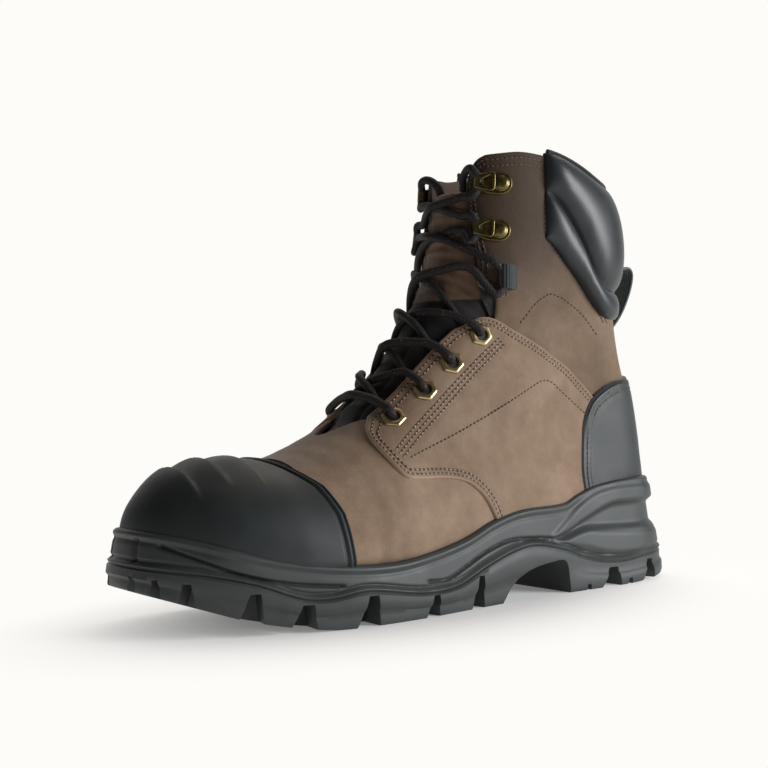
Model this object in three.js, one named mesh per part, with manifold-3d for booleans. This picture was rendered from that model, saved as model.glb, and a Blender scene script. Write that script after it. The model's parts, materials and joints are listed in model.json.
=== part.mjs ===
// A left safety boot: leather upper with a padded collar, rubber toe cap and heel counter, hex eyelets,
// speed hooks and laces, on a two-layer lugged sole. Toe towards -Y, outer (lateral) side towards +X.
import * as THREE from "three";
import { mergeVertices } from "three/addons/utils/BufferGeometryUtils.js";
import Module from "manifold-3d";

const wasm = await Module();
wasm.setup();
const { clamp, lerp, smoothstep } = THREE.MathUtils;

// Driving sizes in millimetres, from the floor and from the middle of the heel seat.
const soleLength = 315;
const soleBehindHeel = 45;
const soleWidth = 112;
const soleHeight = 55;
const soleToeRound = 48;
const soleHeelRound = 38;
const soleToeTurn = 8;
const ribDepth = 4;
const heelLean = 4;
const lugDepth = 5;
const notchDepth = 15;
const toeMargin = 10;
const heelMargin = 9;
const upperLength = soleLength - heelMargin - toeMargin;
const upperBehindHeel = soleBehindHeel - heelMargin;
const bootHeight = 228;
const ballWidth = 104;
const upperWall = 2.6;
const lastingMargin = 10;
const insoleThickness = 4;
const quarterStep = 1.4;
const toeCapThickness = 3;
const gillHeight = 1.5;
const counterThickness = 1.8;
const collarPadding = 8.5;
const collarLining = 1.3;
const tongueThickness = 4.5;
const tongueUnderFacing = 6;
const tongueSlack = 1.8;
const laceWidth = 4.6;
const eyeletAcross = 13;
const eyeletBore = 6;
const eyeletThickness = 1.4;
const hookPlateLength = 19;
const hookPlateWidth = 9.5;
const hookLoopWidth = 13;
const hookMetal = 1.5;
const laceLoopWidth = 14;
const laceLoopReach = 13;
const webbing = 1.6;
const pullLoopWidth = 16;
const pullLoopReach = 13;
const collarBinding = 1.5;
const eyeletBarrel = 0.8;
const rivetRadius = 3.4;
const soleOverUpper = 5;
const facingTop = 0.975;
const clearance = 0.3;
const seatMargin = 0.02;

const ringPoints = 16;
const soleRingPoints = 44;
const boreSides = 12;
const holeSides = 8;
const sides = { lateral: 1, medial: -1 };

function table(columns, rows) {
  const names = columns.split(" ");
  return rows.map((row) => Object.fromEntries(names.map((name, i) => [name, row[i]])));
}

// Sections of the last, toe to above the collar. Places along are shares of the upper's length from its
// back, places up are shares of the boot's height, widths are shares of the ball width. Each section is a
// straight line in side view from base to ridge; the two ends are the shares of it that are rounded.
const lastTable = table("ridgeAlong ridgeUp baseAlong baseUp lateral medial fullness lowEnd highEnd shift", [
  [1.0, 0.315, 1.0, 0.16, 0.365, 0.345, 0.9, 0.3, 0.75, -0.077],
  [0.848, 0.32, 0.848, 0.105, 0.47, 0.42, 0.95, 0.22, 0.72, -0.038],
  [0.78, 0.325, 0.78, 0.09, 0.51, 0.45, 0.95, 0.2, 0.76, -0.029],
  [0.703, 0.36, 0.703, 0.085, 0.53, 0.465, 0.95, 0.19, 0.8, -0.024],
  [0.635, 0.408, 0.611, 0.087, 0.515, 0.44, 0.95, 0.18, 0.78, -0.014],
  [0.588, 0.46, 0.5, 0.103, 0.46, 0.395, 0.95, 0.17, 0.72, -0.01],
  [0.54, 0.53, 0.375, 0.127, 0.405, 0.355, 0.95, 0.16, 0.62, 0],
  [0.5, 0.6, 0.24, 0.143, 0.365, 0.345, 1.0, 0.14, 0.52, 0],
  [0.473, 0.654, 0.105, 0.153, 0.337, 0.337, 1.05, 0.13, 0.43, 0],
  [0.456, 0.69, 0.022, 0.175, 0.327, 0.327, 1.07, 0.22, 0.38, 0],
  [0.446, 0.724, 0.019, 0.272, 0.332, 0.332, 1.06, 0.25, 0.35, 0],
  [0.438, 0.759, 0.034, 0.395, 0.337, 0.337, 1.05, 0.26, 0.35, 0],
  [0.431, 0.794, 0.057, 0.504, 0.341, 0.341, 1.03, 0.28, 0.35, 0],
  [0.426, 0.83, 0.069, 0.605, 0.346, 0.346, 1.02, 0.31, 0.37, 0],
  [0.419, 0.868, 0.073, 0.724, 0.346, 0.346, 1.02, 0.34, 0.39, 0],
  [0.412, 0.92, 0.081, 0.877, 0.346, 0.346, 1.02, 0.37, 0.41, 0],
  [0.402, 1.035, 0.095, 1.035, 0.356, 0.356, 1.02, 0.4, 0.43, 0],
]);
const toeTipUp = 0.185;
const lastStations = lastTable.length - 1;

// Half widths of the sole as shares of its width, heights of its lines as shares of its height at the heel.
const soleOutline = table("along lateral medial", [
  [0.0, 0.375, 0.375],
  [0.14, 0.395, 0.395],
  [0.25, 0.4, 0.39],
  [0.38, 0.425, 0.38],
  [0.5, 0.465, 0.392],
  [0.6, 0.505, 0.45],
  [0.69, 0.515, 0.485],
  [0.76, 0.495, 0.485],
  [0.83, 0.46, 0.467],
  [0.91, 0.42, 0.44],
  [1.0, 0.37, 0.4],
]);
const rimLine = table("along up", [
  [0.0, 1.0],
  [0.11, 1.0],
  [0.2, 0.96],
  [0.25, 0.88],
  [0.28, 0.82],
  [0.38, 0.8],
  [0.44, 0.73],
  [0.5, 0.61],
  [0.57, 0.53],
  [0.65, 0.485],
  [0.75, 0.52],
  [0.83, 0.6],
  [0.9, 0.71],
  [0.95, 0.79],
  [1.0, 0.85],
]);
const waveLine = table("along up", [
  [0.0, 0.29],
  [0.11, 0.25],
  [0.16, 0.225],
  [0.21, 0.25],
  [0.25, 0.31],
  [0.29, 0.39],
  [0.36, 0.465],
  [0.41, 0.43],
  [0.47, 0.33],
  [0.53, 0.21],
  [0.6, 0.2],
  [0.7, 0.28],
  [0.76, 0.245],
  [0.8, 0.27],
  [0.86, 0.41],
  [0.93, 0.55],
  [1.0, 0.65],
]);
const treadLine = table("along up", [
  [0.0, 0.05],
  [0.05, 0],
  [0.73, 0],
  [0.79, 0.035],
  [0.87, 0.13],
  [0.93, 0.24],
  [1.0, 0.38],
]);
// The midsole's side from the wave line to the rim: depth below the outline as a share of the rib depth, for
// the plain forefoot with its bead and for the ribbed heel.
const midsoleSide = table("height front heel", [
  [0.0, 0.1, 0.5],
  [0.14, 0.1, 0.55],
  [0.32, 0.2, 0.65],
  [0.38, 0.45, 1.0],
  [0.5, 0.3, 0.9],
  [0.58, 0.3, 1.35],
  [0.72, 0.4, 1.4],
  [0.78, 0.45, 1.05],
  [0.95, 0.5, 1.1],
  [1.0, 0.75, 1.3],
]);
const ribStart = 0.33;
const ribFull = 0.24;

function curve(a, b, c, d, t) {
  const bend = 2 * a - 5 * b + 4 * c - d;
  const twist = 3 * b - a - 3 * c + d;
  return 0.5 * (2 * b + (c - a) * t + bend * t * t + twist * t ** 3);
}

// A column read at a place along, smoothly between the rows on either side.
function readAlong(rows, column, along) {
  const last = rows.length - 1;
  const after = clamp(rows.findIndex((row) => row.along > along), 1, last);
  const i = along >= rows[last].along ? last - 1 : after - 1;
  const slope = (k) => {
    const low = rows[Math.max(k - 1, 0)];
    const high = rows[Math.min(k + 1, last)];
    return (high[column] - low[column]) / (high.along - low.along);
  };
  const span = rows[i + 1].along - rows[i].along;
  const t = clamp((along - rows[i].along) / span, 0, 1);
  const start = rows[i][column];
  const rise = rows[i + 1][column] - start;
  const ease = t * t * (3 - 2 * t);
  const pull = t * (1 - t) * span;
  return start + rise * ease + pull * ((1 - t) * slope(i) - t * slope(i + 1));
}

// Places of the upper in millimetres from its shares, and back.
function upperY(along) {
  return upperBehindHeel - along * upperLength;
}

function upperZ(up) {
  return up * bootHeight;
}

function rounded(share, power) {
  return (1 - (1 - clamp(share, 0, 1)) ** power) ** (1 / power);
}

// One section of the last in millimetres. Ahead of the second row the toe is rounded off, in plan and in
// side view.
function lastSection(station) {
  const at = clamp(station, 0, lastStations - 1e-6);
  const i = Math.floor(at);
  const mirrored = (row, beyond) => Object.fromEntries(
    Object.keys(row).map((name) => [name, 2 * row[name] - beyond[name]]),
  );
  const second = lastTable[i];
  const third = lastTable[i + 1];
  const first = lastTable[i - 1] ?? mirrored(second, third);
  const fourth = lastTable[i + 2] ?? mirrored(third, second);
  const turn = Math.cos((Math.min(at, 1) * Math.PI) / 2);
  const toe = at < 1;
  const read = (name) => (toe
    ? lerp(second[name], third[name], 1 - turn)
    : curve(first[name], second[name], third[name], fourth[name], at - i));
  const pole = upperZ(toeTipUp);
  const narrow = (1 - turn ** 2.3) ** (1 / 2.3);
  return {
    ridgeY: upperY(read("ridgeAlong")),
    ridgeZ: lerp(pole, upperZ(read("ridgeUp")), (1 - turn ** 2.2) ** (1 / 2.2)),
    baseY: upperY(read("baseAlong")),
    baseZ: lerp(pole, upperZ(read("baseUp")), (1 - turn ** 5) ** 0.2),
    lateral: read("lateral") * ballWidth * narrow,
    medial: read("medial") * ballWidth * narrow,
    fullness: read("fullness"),
    lowEnd: read("lowEnd"),
    highEnd: read("highEnd"),
    shift: read("shift") * ballWidth,
  };
}

// Angle 0 is the ridge, a quarter turn the lateral side, half a turn the base.
function lastSurface(station, angle) {
  const at = lastSection(station);
  const share = (1 + Math.cos(angle)) / 2;
  const side = Math.sin(angle) < 0 ? -1 : 1;
  const width = side > 0 ? at.lateral : at.medial;
  const full = lerp(1, at.fullness, share * share * (3 - 2 * share));
  const ends = rounded(share / at.lowEnd, 2.6) * rounded((1 - share) / at.highEnd, 2.2);
  return new THREE.Vector3(
    at.shift + side * width * full * ends,
    lerp(at.baseY, at.ridgeY, share),
    lerp(at.baseZ, at.ridgeZ, share),
  );
}

function lastNormal(station, angle) {
  const step = 0.03;
  const around = lastSurface(station, angle + step).sub(lastSurface(station, angle - step));
  const ahead = lastSurface(station + step, angle).sub(lastSurface(Math.max(station - step, 0), angle));
  return around.cross(ahead).normalize();
}

function lastPoint(station, angle, offset) {
  return lastSurface(station, angle).addScaledVector(lastNormal(station, angle), offset);
}

function halve(low, high, isLow) {
  let [a, b] = [low, high];
  for (let i = 0; i < 40; i += 1) {
    const middle = (a + b) / 2;
    if (isLow(middle)) a = middle;
    else b = middle;
  }
  return (a + b) / 2;
}

// Station and angle of the surface point that side view shows at y, z.
function placeAt(side, y, z) {
  const ahead = (station) => {
    const at = lastSection(station);
    return (at.ridgeY - at.baseY) * (z - at.baseZ) - (at.ridgeZ - at.baseZ) * (y - at.baseY);
  };
  const station = halve(0.1, lastStations, (middle) => ahead(middle) < 0);
  const at = lastSection(station);
  const length = Math.hypot(at.ridgeY - at.baseY, at.ridgeZ - at.baseZ);
  const share = Math.hypot(y - at.baseY, z - at.baseZ) / length;
  return { station, angle: side * Math.acos(clamp(2 * share - 1, -1, 1)) };
}

function stationAtHeight(z, angle) {
  return halve(5, lastStations, (middle) => lastSurface(middle, angle).z < z);
}

// Angle from the ridge at which a section is this far from the middle.
function angleAtWidth(station, width) {
  return halve(0, Math.PI / 2, (middle) => lastSurface(station, middle).x < width);
}

function solidOf(positions, indices) {
  const geometry = new THREE.BufferGeometry();
  geometry.setAttribute("position", new THREE.Float32BufferAttribute(positions, 3));
  geometry.setIndex(indices);
  const merged = mergeVertices(geometry, 1e-4);
  return new wasm.Manifold(new wasm.Mesh({
    numProp: 3,
    vertProperties: merged.attributes.position.array,
    triVerts: new Uint32Array(merged.index.array),
  }));
}

// A closed skin over rings of equal count. Each end is closed by strips between a ring's two halves.
function skin(rings) {
  const count = rings[0].length;
  const indices = [];
  const quad = (a, b, c, d) => indices.push(a, b, c, a, c, d);
  for (let i = 0; i < rings.length - 1; i += 1) {
    for (let j = 0; j < count; j += 1) {
      const next = (j + 1) % count;
      quad(i * count + j, i * count + next, (i + 1) * count + next, (i + 1) * count + j);
    }
  }
  const last = (rings.length - 1) * count;
  for (let j = 0; j < count / 2 - 1; j += 1) {
    quad(j, count - 1 - j, count - 2 - j, j + 1);
    quad(last + j, last + j + 1, last + count - 2 - j, last + count - 1 - j);
  }
  return solidOf(rings.flat().flatMap((point) => point.toArray()), indices);
}

// A closed sheet between an outer and an inner row of points for each step.
function sheet(steps, outerRow, innerRow) {
  return skin(steps.map((step) => [...outerRow(step), ...innerRow(step).reverse()]));
}

function steps(from, to, count) {
  return Array.from({ length: count + 1 }, (_, i) => lerp(from, to, i / count));
}

// Angles in even steps round a ring, half a step away from its ends.
function aroundRing(count) {
  return steps(0, 2 * Math.PI, count).slice(0, count).map((angle) => angle + Math.PI / count);
}

const ringAngles = aroundRing(ringPoints);
const lastSteps = [0.1, 0.3, 0.6, ...steps(1, 9, 10), 9.5, 10.3, 12, 13.6, 14.8, lastStations];

function last(offset) {
  return skin(lastSteps.map((station) => ringAngles.map((angle) => lastPoint(station, angle, offset))));
}

// Extruding across the width of a strap that lies on the facing: the strip's plane is forwards and out.
const acrossFacing = new THREE.Matrix4().makeBasis(
  new THREE.Vector3(1, 0, 0),
  new THREE.Vector3(0, 0, 1),
  new THREE.Vector3(0, -1, 0),
);
const sideView = new THREE.Matrix4().makeBasis(
  new THREE.Vector3(0, 1, 0),
  new THREE.Vector3(0, 0, 1),
  new THREE.Vector3(1, 0, 0),
);

function mergedSolid(geometry) {
  const plain = new THREE.BufferGeometry();
  plain.setAttribute("position", geometry.attributes.position);
  const merged = mergeVertices(plain);
  return solidOf([...merged.attributes.position.array], [...merged.index.array]);
}

function extruded(shape, depth, matrix, curveSegments = 6) {
  const geometry = new THREE.ExtrudeGeometry(shape, { depth, bevelEnabled: false, curveSegments });
  geometry.translate(0, 0, -depth / 2).applyMatrix4(matrix);
  return mergedSolid(geometry);
}

// A block with this outline in side view, through the whole boot.
function sideBlock(points) {
  const shape = new THREE.Shape(points.map(([y, z]) => new THREE.Vector2(y, z)));
  return extruded(shape, 3 * ballWidth, sideView);
}

function smoothLine(points, count) {
  const line = new THREE.SplineCurve(points.map(([y, z]) => new THREE.Vector2(y, z)));
  return line.getPoints(count).map((point) => [point.x, point.y]);
}

function shares(points) {
  return points.map(([along, up]) => [upperY(along), upperZ(up)]);
}

// Side-view lines of the panels, as shares of the upper's length from its back and of the boot's height.
const toeCapEdge = [
  [0.724, 0.06],
  [0.728, 0.12],
  [0.737, 0.22],
  [0.753, 0.27],
  [0.777, 0.3],
  [0.803, 0.34],
  [0.806, 0.42],
];
const quarterThroat = [[0.55, 0.5], [0.635, 0.408], [0.645, 0.37], [0.64, 0.335], [0.612, 0.28]];
const quarterFront = [
  [0.612, 0.28],
  [0.545, 0.277],
  [0.5, 0.268],
  [0.472, 0.245],
  [0.45, 0.21],
  [0.437, 0.17],
  [0.43, 0.06],
];
const quarterTop = [[0.16, 0.4], [0.19, 0.44], [0.28, 0.532], [0.356, 0.588], [0.398, 0.634], [0.405, 0.66]];
const counterEdge = [
  [0.216, 0.1],
  [0.218, 0.26],
  [0.213, 0.34],
  [0.2, 0.4],
  [0.155, 0.45],
  [0.1, 0.47],
  [-0.1, 0.49],
];
const throatEdge = table("station width", [
  [3.85, 0.06],
  [3.95, 0.13],
  [4.15, 0.165],
  [5, 0.172],
  [6, 0.185],
  [7, 0.208],
  [8, 0.235],
  [8.6, 0.262],
  [9.1, 0.27],
  [9.6, 0.245],
  [10.2, 0.233],
  [12, 0.2],
  [14, 0.165],
  [15.2, 0.158],
  [16, 0.2],
]);
// Collar pad: share from base to ridge, then lower edge, seam between its two tubes, and topline as heights.
const collarTable = table("along lower seam top", [
  [0.0, 0.614, 0.676, 0.912],
  [0.2, 0.612, 0.68, 0.93],
  [0.28, 0.63, 0.705, 0.945],
  [0.34, 0.675, 0.76, 0.957],
  [0.43, 0.72, 0.83, 0.972],
  [0.52, 0.76, 0.875, 0.982],
  [0.6, 0.8, 0.905, 0.988],
]);

// Fastenings up the facing, on the same shares.
const eyeletPlaces = [[0.595, 0.399], [0.532, 0.456], [0.477, 0.514], [0.418, 0.575]];
const laceLoopAt = [0.365, 0.704];
const hookPlaces = [[0.385, 0.81], [0.375, 0.915]];

// Curved ribs over the toe: place of the front edge, half reach and width as shares of the ball width.
const gillRows = table("along reach width", [
  [0.96, 0.24, 0.06],
  [0.9, 0.28, 0.06],
  [0.85, 0.3, 0.05],
]);
// Cuts in the tread: place, width as a share of the sole's, depth from the edge, rise towards the wave line.
const notchRows = table("along width depth rise across", [
  [0.05, 0.04, 0.7, 0.6, 0],
  [0.105, 0.06, 0.9, 0.6, 1],
  [0.195, 0.085, 1, 0.6, 1],
  [0.49, 0.075, 1, 0.75, 1],
  [0.587, 0.065, 1, 0.75, 1],
  [0.707, 0.065, 1, 0.7, 1],
  [0.805, 0.07, 1, 0.75, 1],
  [0.885, 0.07, 1, 0.6, 1],
  [0.945, 0.06, 0.9, 0.6, 1],
]);
// The arch under the waist, as shares of the sole's length from its back and of its height.
const archLine = [
  [0.45, -0.2],
  [0.435, 0.03],
  [0.41, 0.18],
  [0.375, 0.275],
  [0.33, 0.31],
  [0.3, 0.3],
  [0.292, 0.15],
  [0.288, -0.2],
];

function outlineAt(angle) {
  const along = (1 + Math.cos(angle)) / 2;
  const y = soleBehindHeel - along * soleLength;
  const side = Math.sin(angle) < 0 ? "medial" : "lateral";
  const toe = rounded(((1 - along) * soleLength) / soleToeRound, 2.3);
  const heel = rounded((along * soleLength) / soleHeelRound, 2.3);
  const half = readAlong(soleOutline, side, along) * soleWidth * toe * heel;
  const turned = -soleToeTurn * clamp((along - 0.69) / 0.31, 0, 1) ** 2;
  return new THREE.Vector2(turned + sides[side] * half, y);
}

function soleAlong(y) {
  return (soleBehindHeel - y) / soleLength;
}

function soleLine(line, y) {
  return readAlong(line, "up", soleAlong(y)) * soleHeight;
}

function rim(y) {
  return soleLine(rimLine, y);
}

function wave(y) {
  return soleLine(waveLine, y);
}

function tread(y) {
  return Math.max(soleLine(treadLine, y), 0);
}

const soleAngles = aroundRing(soleRingPoints);

// A ring of the sole: each point moved in from the outline by inset(y), at height(y).
function soleRing(inset, height) {
  const step = 0.01;
  return soleAngles.map((angle) => {
    const at = outlineAt(angle);
    const ahead = outlineAt(angle + step).sub(outlineAt(angle - step)).normalize();
    const depth = inset(at.y);
    const y = at.y + ahead.x * depth;
    return new THREE.Vector3(at.x - ahead.y * depth, y, height(y));
  });
}

function ribbed(y) {
  return 1 - smoothstep(soleAlong(y), ribFull, ribStart);
}

function midsoleInset(row, y) {
  const lean = heelLean * row.height * smoothstep(y, 0.25 * soleBehindHeel, 0.9 * soleBehindHeel);
  return lerp(row.front, row.heel, ribbed(y)) * ribDepth + lean;
}

function midsoleBlock() {
  return skin(midsoleSide.map((row) => soleRing(
    (y) => midsoleInset(row, y),
    (y) => lerp(wave(y) + clearance / 2, rim(y), row.height),
  )));
}

function throatWidth(station) {
  const rows = throatEdge.map((row) => ({ along: row.station, width: row.width }));
  return readAlong(rows, "width", station) * ballWidth;
}

// A strip over the ridge between two offsets, this wide to each side.
function ridgeStrip(stations, halfWidth, outer, inner, columns) {
  const row = (station, offset) => {
    const most = angleAtWidth(station, halfWidth(station));
    return steps(-most, most, columns).map((angle) => lastPoint(station, angle, offset(station)));
  };
  return sheet(stations, (station) => row(station, outer), (station) => row(station, inner));
}

const throatStart = 4.15;
const throatBend = 9.1;
const facingStart = 9.6;
const lowerThroat = steps(throatStart, throatBend, 9);
const upperThroat = steps(facingStart, lastStations, 8);

function throatOpening() {
  const stations = [3.85, 3.95, ...lowerThroat, ...upperThroat];
  return ridgeStrip(stations, throatWidth, () => 3 * upperWall, () => -3 * upperWall, 4);
}

const quarterBlock = sideBlock([
  ...smoothLine(shares(quarterThroat), 8),
  ...smoothLine(shares(quarterFront), 8).slice(1),
  [upperY(-0.2), upperZ(0.06)],
  [upperY(-0.2), upperZ(0.4)],
  ...smoothLine(shares(quarterTop), 6),
]);

// The last this far outside the leather, with the quarter's step.
function grown(by) {
  return last(by).add(last(quarterStep + by).intersect(quarterBlock));
}

function collarLines(angle) {
  const share = (1 + Math.cos(angle)) / 2;
  const read = (column) => readAlong(collarTable, column, share) * bootHeight;
  return { lower: read("lower"), seam: read("seam"), top: read("top") };
}

const collarFrontShare = 0.6;
const collarSeamAt = 0.7;
const collarFront = Math.acos(2 * collarFrontShare - 1);
const collarSteps = steps(collarFront, 2 * Math.PI - collarFront, 16);
const collarRows = [0, 0.1, 0.35, 0.6, 0.7, 0.78, 0.92, 1];

// Padding across the pad from its top (0) to its lower edge (1): a deep tube, a seam and a narrower tube,
// both drawn in at the pad's front edges.
function collarPuff(across, angle) {
  const [from, to, depth] = across < collarSeamAt ? [0, collarSeamAt, 1] : [collarSeamAt, 1, 0.72];
  const middle = (2 * across - from - to) / (to - from);
  const fromFront = Math.PI - collarFront - Math.abs(Math.PI - angle);
  const front = rounded(fromFront / 0.45, 2);
  return 0.12 + depth * front * (1 - Math.abs(middle) ** 2.4) ** 0.5;
}

function collarPoint(angle, across, offset) {
  const { lower, seam, top } = collarLines(angle);
  const upper = lerp(top, seam, across / collarSeamAt);
  const under = lerp(seam, lower, (across - collarSeamAt) / (1 - collarSeamAt));
  const z = across < collarSeamAt ? upper : under;
  return lastPoint(stationAtHeight(z, angle), angle, offset);
}

function collarSheet(angles, rows, outer, inner) {
  return sheet(
    angles,
    (angle) => rows.map((across) => collarPoint(angle, across, outer(across, angle))),
    (angle) => rows.map((across) => collarPoint(angle, across, inner)),
  );
}

function collar() {
  const outer = (across, angle) => collarPuff(across, angle) * collarPadding;
  return collarSheet(collarSteps, collarRows, outer, collarLining - upperWall + clearance);
}

const boot = new THREE.Group();
boot.name = "boot";

function look(name, color, roughness, metalness = 0) {
  return new THREE.MeshStandardMaterial({ name, color, roughness, metalness });
}

const brownLeather = look("brown_leather", 0x7a5f4c, 0.75);
const darkLeather = look("dark_leather", 0x5b4436, 0.8);
const blackLeather = look("black_leather", 0x1d2124, 0.5);
const capRubber = look("cap_rubber", 0x25282b, 0.6);
const soleRubber = look("sole_rubber", 0x3b4044, 0.7);
const brass = look("antique_brass", 0x8f7440, 0.4, 1);
const laceCord = look("lace_cord", 0x2a211e, 0.85);
const strap = look("webbing", 0x16191b, 0.9);
const lining = look("insole_fabric", 0x3a3a3a, 0.95);

function add(name, made, material) {
  const mesh = made.getMesh();
  const geometry = new THREE.BufferGeometry();
  geometry.setAttribute("position", new THREE.BufferAttribute(mesh.vertProperties, 3));
  geometry.setIndex(new THREE.BufferAttribute(mesh.triVerts, 1));
  geometry.computeVertexNormals();
  const node = new THREE.Mesh(geometry, material);
  node.name = name;
  boot.add(node);
}

// Height of the last's underside above the floor.
function baseAt(y) {
  return lastSection(halve(0, 9, (middle) => lastSection(middle).baseY < y)).baseZ;
}

// Every other point of a ring, alike on both halves.
function thinned(ring) {
  return ring.filter((_, i) => Math.min(i, ring.length - 1 - i) % 2 === 0);
}

// The opening under the foot, inside the leather that is turned in over the sole.
function footOpening() {
  const inset = () => soleOverUpper + lastingMargin;
  const top = (y) => baseAt(y) + upperWall + soleOverUpper;
  return skin([thinned(soleRing(inset, () => 0)), thinned(soleRing(inset, top))]);
}

function toplineBlock() {
  const back = collarTable.map((row) => {
    const angle = Math.acos(2 * row.along - 1);
    const z = row.top * bootHeight - collarBinding;
    return [lastSurface(stationAtHeight(z, angle), angle).y, z];
  });
  const [backY, backZ] = back[0];
  const above = 1.2 * bootHeight;
  return sideBlock([
    [upperY(0.6), above],
    [upperY(0.6), upperZ(facingTop)],
    [upperY(0.41), upperZ(facingTop)],
    [upperY(0.385), upperZ(facingTop) + collarBinding],
    ...back.reverse(),
    [backY + ballWidth, backZ],
    [backY + ballWidth, above],
  ]);
}

// The step in the leather that the collar pad sits in.
function collarSeat() {
  const rows = [-2 * seatMargin, 0.35, 0.7, 1 + seatMargin];
  const angles = collarSteps.map((angle) => Math.PI + (angle - Math.PI) * (1 + seatMargin));
  return collarSheet(angles, rows, () => 2 * collarPadding, collarLining - upperWall);
}

// A place on the leather: x runs forwards across the facing, y up along it and z out of the surface.
function seatOn(side, [along, up], lift) {
  const place = placeAt(side, upperY(along), upperZ(up));
  const out = lastNormal(place.station, place.angle);
  const step = 0.2;
  const after = lastSurface(place.station + step, place.angle);
  const ahead = after.sub(lastSurface(place.station - step, place.angle));
  const upwards = ahead.addScaledVector(out, -ahead.dot(out)).normalize();
  const forwards = new THREE.Vector3().crossVectors(upwards, out);
  const point = lastSurface(place.station, place.angle).addScaledVector(out, lift);
  return new THREE.Matrix4().makeBasis(forwards, upwards, out).setPosition(point);
}

function placed(matrix, x, y, z) {
  return matrix.clone().multiply(new THREE.Matrix4().makeTranslation(x, y, z));
}

function polygon(count, radius, turn = 0) {
  const corners = steps(0, 2 * Math.PI, count).slice(0, count);
  return corners.map((a) => new THREE.Vector2(radius * Math.cos(a + turn), radius * Math.sin(a + turn)));
}

function turned(profile, matrix, segments) {
  const geometry = new THREE.LatheGeometry(profile.map(([r, h]) => new THREE.Vector2(r, h)), segments);
  geometry.rotateX(Math.PI / 2).applyMatrix4(matrix);
  geometry.deleteAttribute("normal");
  geometry.deleteAttribute("uv");
  const merged = mergeVertices(geometry);
  const indices = [...merged.index.array];
  const kept = [];
  for (let i = 0; i < indices.length; i += 3) {
    const [a, b, c] = indices.slice(i, i + 3);
    if (a !== b && b !== c && c !== a) kept.push(a, b, c);
  }
  return solidOf([...merged.attributes.position.array], kept);
}

// A closed ring swept through these rows of points, each row joined to the next and the last to the first.
function hoop(rows) {
  const count = rows[0].length;
  const indices = [];
  rows.forEach((row, i) => row.forEach((point, j) => {
    const [a, b] = [i * count + j, i * count + ((j + 1) % count)];
    const next = ((i + 1) % rows.length) * count;
    const [c, d] = [next + ((j + 1) % count), next + j];
    indices.push(a, b, c, a, c, d);
  }));
  return solidOf(rows.flat().flatMap((point) => point.toArray()), indices);
}

function hexagon(across) {
  const corners = polygon(6, across / 2, Math.PI / 6);
  return corners.flatMap((corner, i) => [corner, corner.clone().add(corners[(i + 1) % 6]).divideScalar(2)]);
}

// A six-sided plate over the leather, with a round barrel through it.
function eyelet(side, at) {
  const seat = seatOn(side, at, quarterStep + clearance);
  const bore = polygon(boreSides, eyeletBore / 2, Math.PI / 6);
  const barrel = polygon(boreSides, eyeletBore / 2 + eyeletBarrel, Math.PI / 6);
  const plate = hexagon(eyeletAcross);
  const reach = -upperWall - quarterStep - clearance;
  const raised = (p, height) => new THREE.Vector3(p.x, p.y, height).applyMatrix4(seat);
  const row = (outline, height) => outline.map((p) => raised(p, height));
  return hoop([
    row(bore, reach),
    row(bore, eyeletThickness),
    row(plate, eyeletThickness),
    row(plate, 0),
    row(barrel, 0),
    row(barrel, reach),
  ].reverse());
}

function eyeletHole(side, at) {
  const seat = seatOn(side, at, 0);
  const hole = new THREE.Shape(polygon(holeSides, eyeletBore / 2 + eyeletBarrel + 2 * clearance));
  return extruded(hole, 4 * upperWall, seat);
}

function stadium(length, width) {
  const shape = new THREE.Shape();
  const reach = (length - width) / 2;
  shape.absarc(reach, 0, width / 2, -Math.PI / 2, Math.PI / 2);
  shape.absarc(-reach, 0, width / 2, Math.PI / 2, (3 * Math.PI) / 2);
  return shape;
}

// A speed hook: an oval plate with a domed rivet, and a three-cornered loop bent back over the front of the
// plate.
function hook(side, at) {
  const seat = seatOn(side, at, clearance / 2);
  const front = hookPlateLength / 2;
  const loopHeight = hookMetal + laceWidth + 2 * clearance;
  const plateShape = stadium(hookPlateLength, hookPlateWidth);
  const plate = extruded(plateShape, hookMetal, placed(seat, 0, 0, hookMetal / 2), 3);
  const bend = new THREE.Shape();
  const half = hookPlateWidth / 2.4;
  bend.moveTo(front - 2 * hookMetal, -half);
  bend.lineTo(front - hookMetal / 2, -half);
  bend.lineTo(front - hookMetal / 2, half);
  bend.lineTo(front - 2 * hookMetal, half);
  const rise = loopHeight + hookMetal;
  const web = extruded(bend, rise, placed(seat, 0, 0, rise / 2));
  const loop = new THREE.Shape();
  loop.moveTo(front, -half);
  loop.lineTo(front, half);
  loop.lineTo(front - 0.8 * hookLoopWidth, hookLoopWidth / 2);
  loop.lineTo(front - hookLoopWidth, hookLoopWidth / 3);
  loop.lineTo(front - hookLoopWidth, -hookLoopWidth / 3);
  loop.lineTo(front - 0.8 * hookLoopWidth, -hookLoopWidth / 2);
  const opening = new THREE.Path();
  opening.moveTo(front - 0.35 * hookLoopWidth, 0);
  opening.lineTo(front - 0.78 * hookLoopWidth, -0.22 * hookLoopWidth);
  opening.lineTo(front - 0.78 * hookLoopWidth, 0.22 * hookLoopWidth);
  loop.holes.push(opening);
  const head = extruded(loop, hookMetal, placed(seat, 0, 0, loopHeight + hookMetal / 2));
  const dome = [[0, 0.5], [rivetRadius, 0.5], [0.8 * rivetRadius, 1.7], [0, 2.4]];
  const profile = dome.map(([r, h]) => [r, h * hookMetal]);
  const rivet = turned(profile, placed(seat, rivetRadius + 0.5 * hookMetal - front, 0, 0), 7);
  return plate.add(web).add(head).add(rivet);
}

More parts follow.
